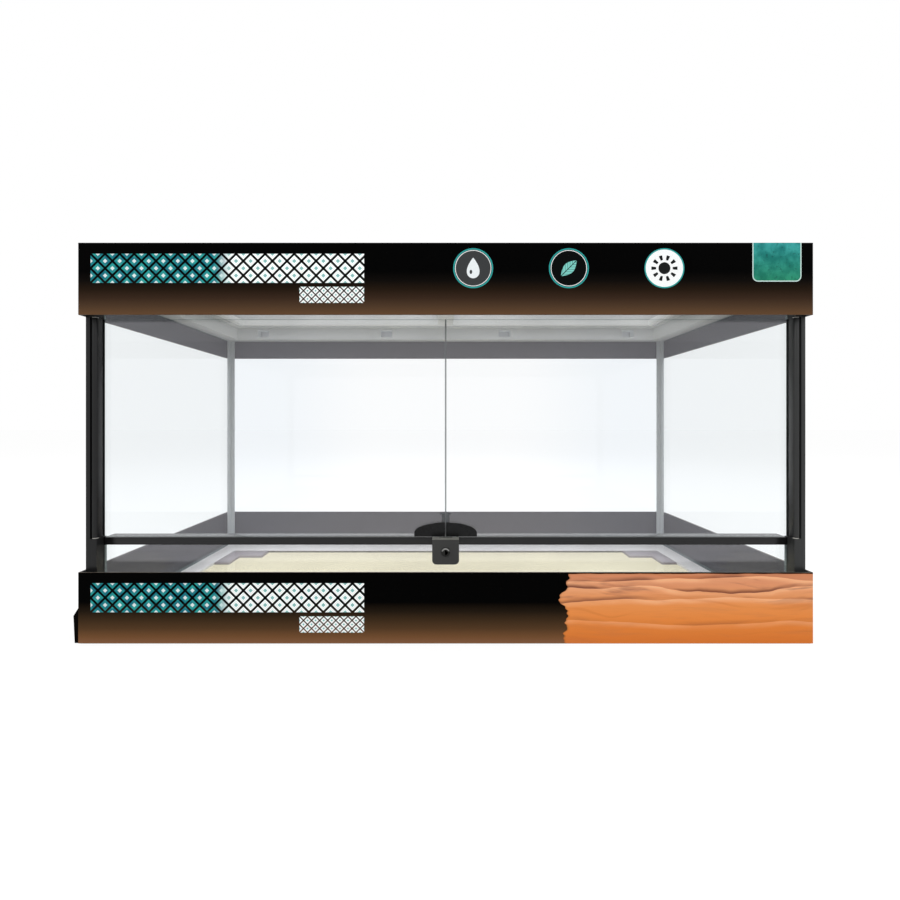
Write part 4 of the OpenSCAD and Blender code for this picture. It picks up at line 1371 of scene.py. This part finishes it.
@dataclass
class Lock:
    """Lock body, key barrel and rising bolt."""

    ease: float = 0.5 * MM
    bolt_ease: float = 0.2 * MM
    rim: float = 1.9 * MM
    rim_steps: int = 5
    highlight_depth: float = 3.5 * MM
    slack: float = 0.3 * MM

    def barrel(self) -> None:
        """Round the front rim of the key barrel, which is painted paler on top as a painted highlight, and
        leave its keyhole sharp.
        """
        made = node_copy("lock_barrel", "lock_barrel_turned")
        low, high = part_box("lock_barrel")
        front = low.y + 0.01 * MM
        middle = (low + high) / 2
        reach = (high.x - low.x) / 2 - self.slack
        bevel_edges(made, lambda ends: all(
            end.y < front and math.hypot(end.x - middle.x, end.z - middle.z) > reach for end in ends),
            self.rim, self.rim_steps)
        finish_piece(made, "lock_barrel", (BARREL_CORE, BARREL_LIT_RIM), "lock_barrel")
        # Upward faces near the front take the pale rim colour: a painted highlight.
        for face in made.data.polygons:
            near = face.center.y < front + self.highlight_depth
            face.material_index = 1 if face.normal.z > SLIGHTLY and near else 0

    def build(self) -> None:
        """Build the lock's pieces."""
        # Faces that look up take the paler lock plastic, painted light on the top.
        EasedPart("lock_body", "root", "trim_plastic", LOCK_BLACK, self.ease, 3, LOCK_LIT_TOP,
                  lambda face: face.normal.z > MOSTLY).build()
        self.barrel()
        EasedPart("lock_bolt", "lock_bolt", "steel", STEEL, self.bolt_ease).build()


@dataclass
class Lid:
    """Lift-off lid with wire screens and two feeding hatches, black above and pale below its split."""

    split: float = 0.480
    hatch_split: float = 0.4835
    ease: float = 0.5 * MM
    hatch_ease: float = 0.4 * MM

    def moulding(self, node: str, body: str, ease: float, level: float) -> None:
        """Build a moulding whose faces are pale below a level.

        Args:
            node: Name of the node.
            body: Its body.
            ease: Size of its eased edges.
            level: Height of the split between the two colours.
        """
        EasedPart(node, body, "lid_plastic", LID_BLACK, ease, second=LID_GREY, where=lambda face: (
            face.center.z < level or (face.normal.z < -PARTLY and face.center.z < level + MM))).build()

    def build(self) -> None:
        """Build the lid, its screens and its hatches."""
        self.moulding("lid_frame", "lid", self.ease, self.split)
        for side in ("left", "right"):
            hatch = f"{side}_hatch"
            WireScreen(f"lid_mesh_{side}", "lid").build()
            self.moulding(f"{hatch}_frame", hatch, self.hatch_ease, self.hatch_split)
            WireScreen(f"{hatch}_mesh", hatch).build()
            dress(f"{hatch}_pins", STEEL)


@dataclass
class SlidingParts:
    """Latches on the deck and gates in the rear wall."""

    count: int = 4
    latch_ease: float = 0.35 * MM
    gate_ease: float = 0.3 * MM

    def build(self) -> None:
        """Build the latches and gates."""
        for number in range(1, self.count + 1):
            latch, gate = f"lid_latch_{number}", f"cable_gate_{number}"
            EasedPart(latch, latch, "latch_plastic", LATCH_BLACK, self.latch_ease).build()
            EasedPart(gate, gate, "gate_plastic", GATE_GREY, self.gate_ease).build()


@dataclass
class CardBands:
    """Printed card bands round the frames."""

    def build(self) -> None:
        """Dress the bands and the tab."""
        dress("upper_band", UPPER_PRINT)
        dress("lower_band", LOWER_PRINT)
        dress("band_end_tab", TAB_PRINT)


# ----------------------------------------------------------------------- studio


@dataclass(frozen=True)
class Lamp:
    """A soft square lamp: its name, its place, its side and its power in watts."""

    name: str
    place: Point
    side: float
    power: float

    def hang(self, target: Vector) -> None:
        """Hang the lamp so that it looks at a point.

        Args:
            target: The point.
        """
        data = bpy.data.lights.new(self.name, "AREA")
        data.size = self.side
        data.energy = self.power
        lamp = bpy.data.objects.new(self.name, data)
        lamp.location = self.place
        lamp.rotation_euler = (target - Vector(self.place)).to_track_quat("-Z", "Y").to_euler()
        bpy.context.collection.objects.link(lamp)


@dataclass
class Studio:
    """Camera, lamps, pale floor and white surroundings."""

    eye: Point = (0.0, -0.898, 0.273)
    lens: float = 21.6
    sensor: float = 36.0
    shift: Span = (0.00489, -0.03)
    sight: Span = (0.02, 100.0)
    ambient: float = 0.9
    floor_side: float = 40.0
    floor_gap: float = 0.2 * MM
    target: Point = (0.0, 0.0, 0.25)
    lamps: tuple[Lamp, ...] = (
        Lamp("key_lamp", (-1.5, -2.3, 2.5), 1.6, 26.0),
        Lamp("fill_lamp", (1.9, -1.9, 2.2), 1.8, 18.0),
        Lamp("back_lamp", (0.6, 2.2, 2.4), 1.6, 12.0),
        Lamp("top_lamp", (0.0, 0.0, 2.6), 1.2, 36.0))

    def camera(self) -> None:
        """Place the camera where the photograph was taken from."""
        data = bpy.data.cameras.new("camera")
        data.lens = self.lens
        data.sensor_width = self.sensor
        data.shift_x, data.shift_y = self.shift
        data.clip_start, data.clip_end = self.sight
        camera = bpy.data.objects.new("camera", data)
        camera.location = self.eye
        camera.rotation_euler = (math.pi / 2, 0.0, 0.0)
        bpy.context.collection.objects.link(camera)
        bpy.context.scene.camera = camera

    def surroundings(self) -> None:
        """White world that lights the object softly and shows white."""
        world = bpy.data.worlds.new("studio")
        bpy.context.scene.world = world
        g = Graph(world)
        level = g.slide(g.seen(), (0.0, 1.0), (self.ambient, 1.0), smooth=False)
        g.show(g.node("ShaderNodeBackground", None, {"Color": WHITE, "Strength": level}))

    def floor(self) -> None:
        """Lay the floor just under the object."""
        quiet()
        bpy.ops.mesh.primitive_plane_add(size=self.floor_side, location=(0.0, 0.0, -self.floor_gap))
        made = bpy.context.object
        made.name = "studio_floor"
        made.data.materials.append(StudioWhite("studio_white").material())

    def build(self) -> None:
        """Set up the studio apart from the camera."""
        bpy.context.scene.view_settings.view_transform = "Standard"
        self.surroundings()
        self.floor()
        for lamp in self.lamps:
            lamp.hang(Vector(self.target))


def main() -> None:
    """Build the looks in order."""
    logging.basicConfig(level=logging.INFO, format="%(name)s: %(message)s")
    studio = Studio()
    studio.camera()
    # The right door takes the lighter trim, painted light.
    for part in (LowerFrame(), UpperFrame(), Glazing(), FrontTrim(), Door("left", BLACK_TRIM),
                 Door("right", LIT_RIGHT_TRIM), Lock(), Lid(), SlidingParts(), CardBands()):
        log.info("building %s", type(part).__name__)
        part.build()
    studio.build()
    quiet()


if __name__ == "__main__":
    main()
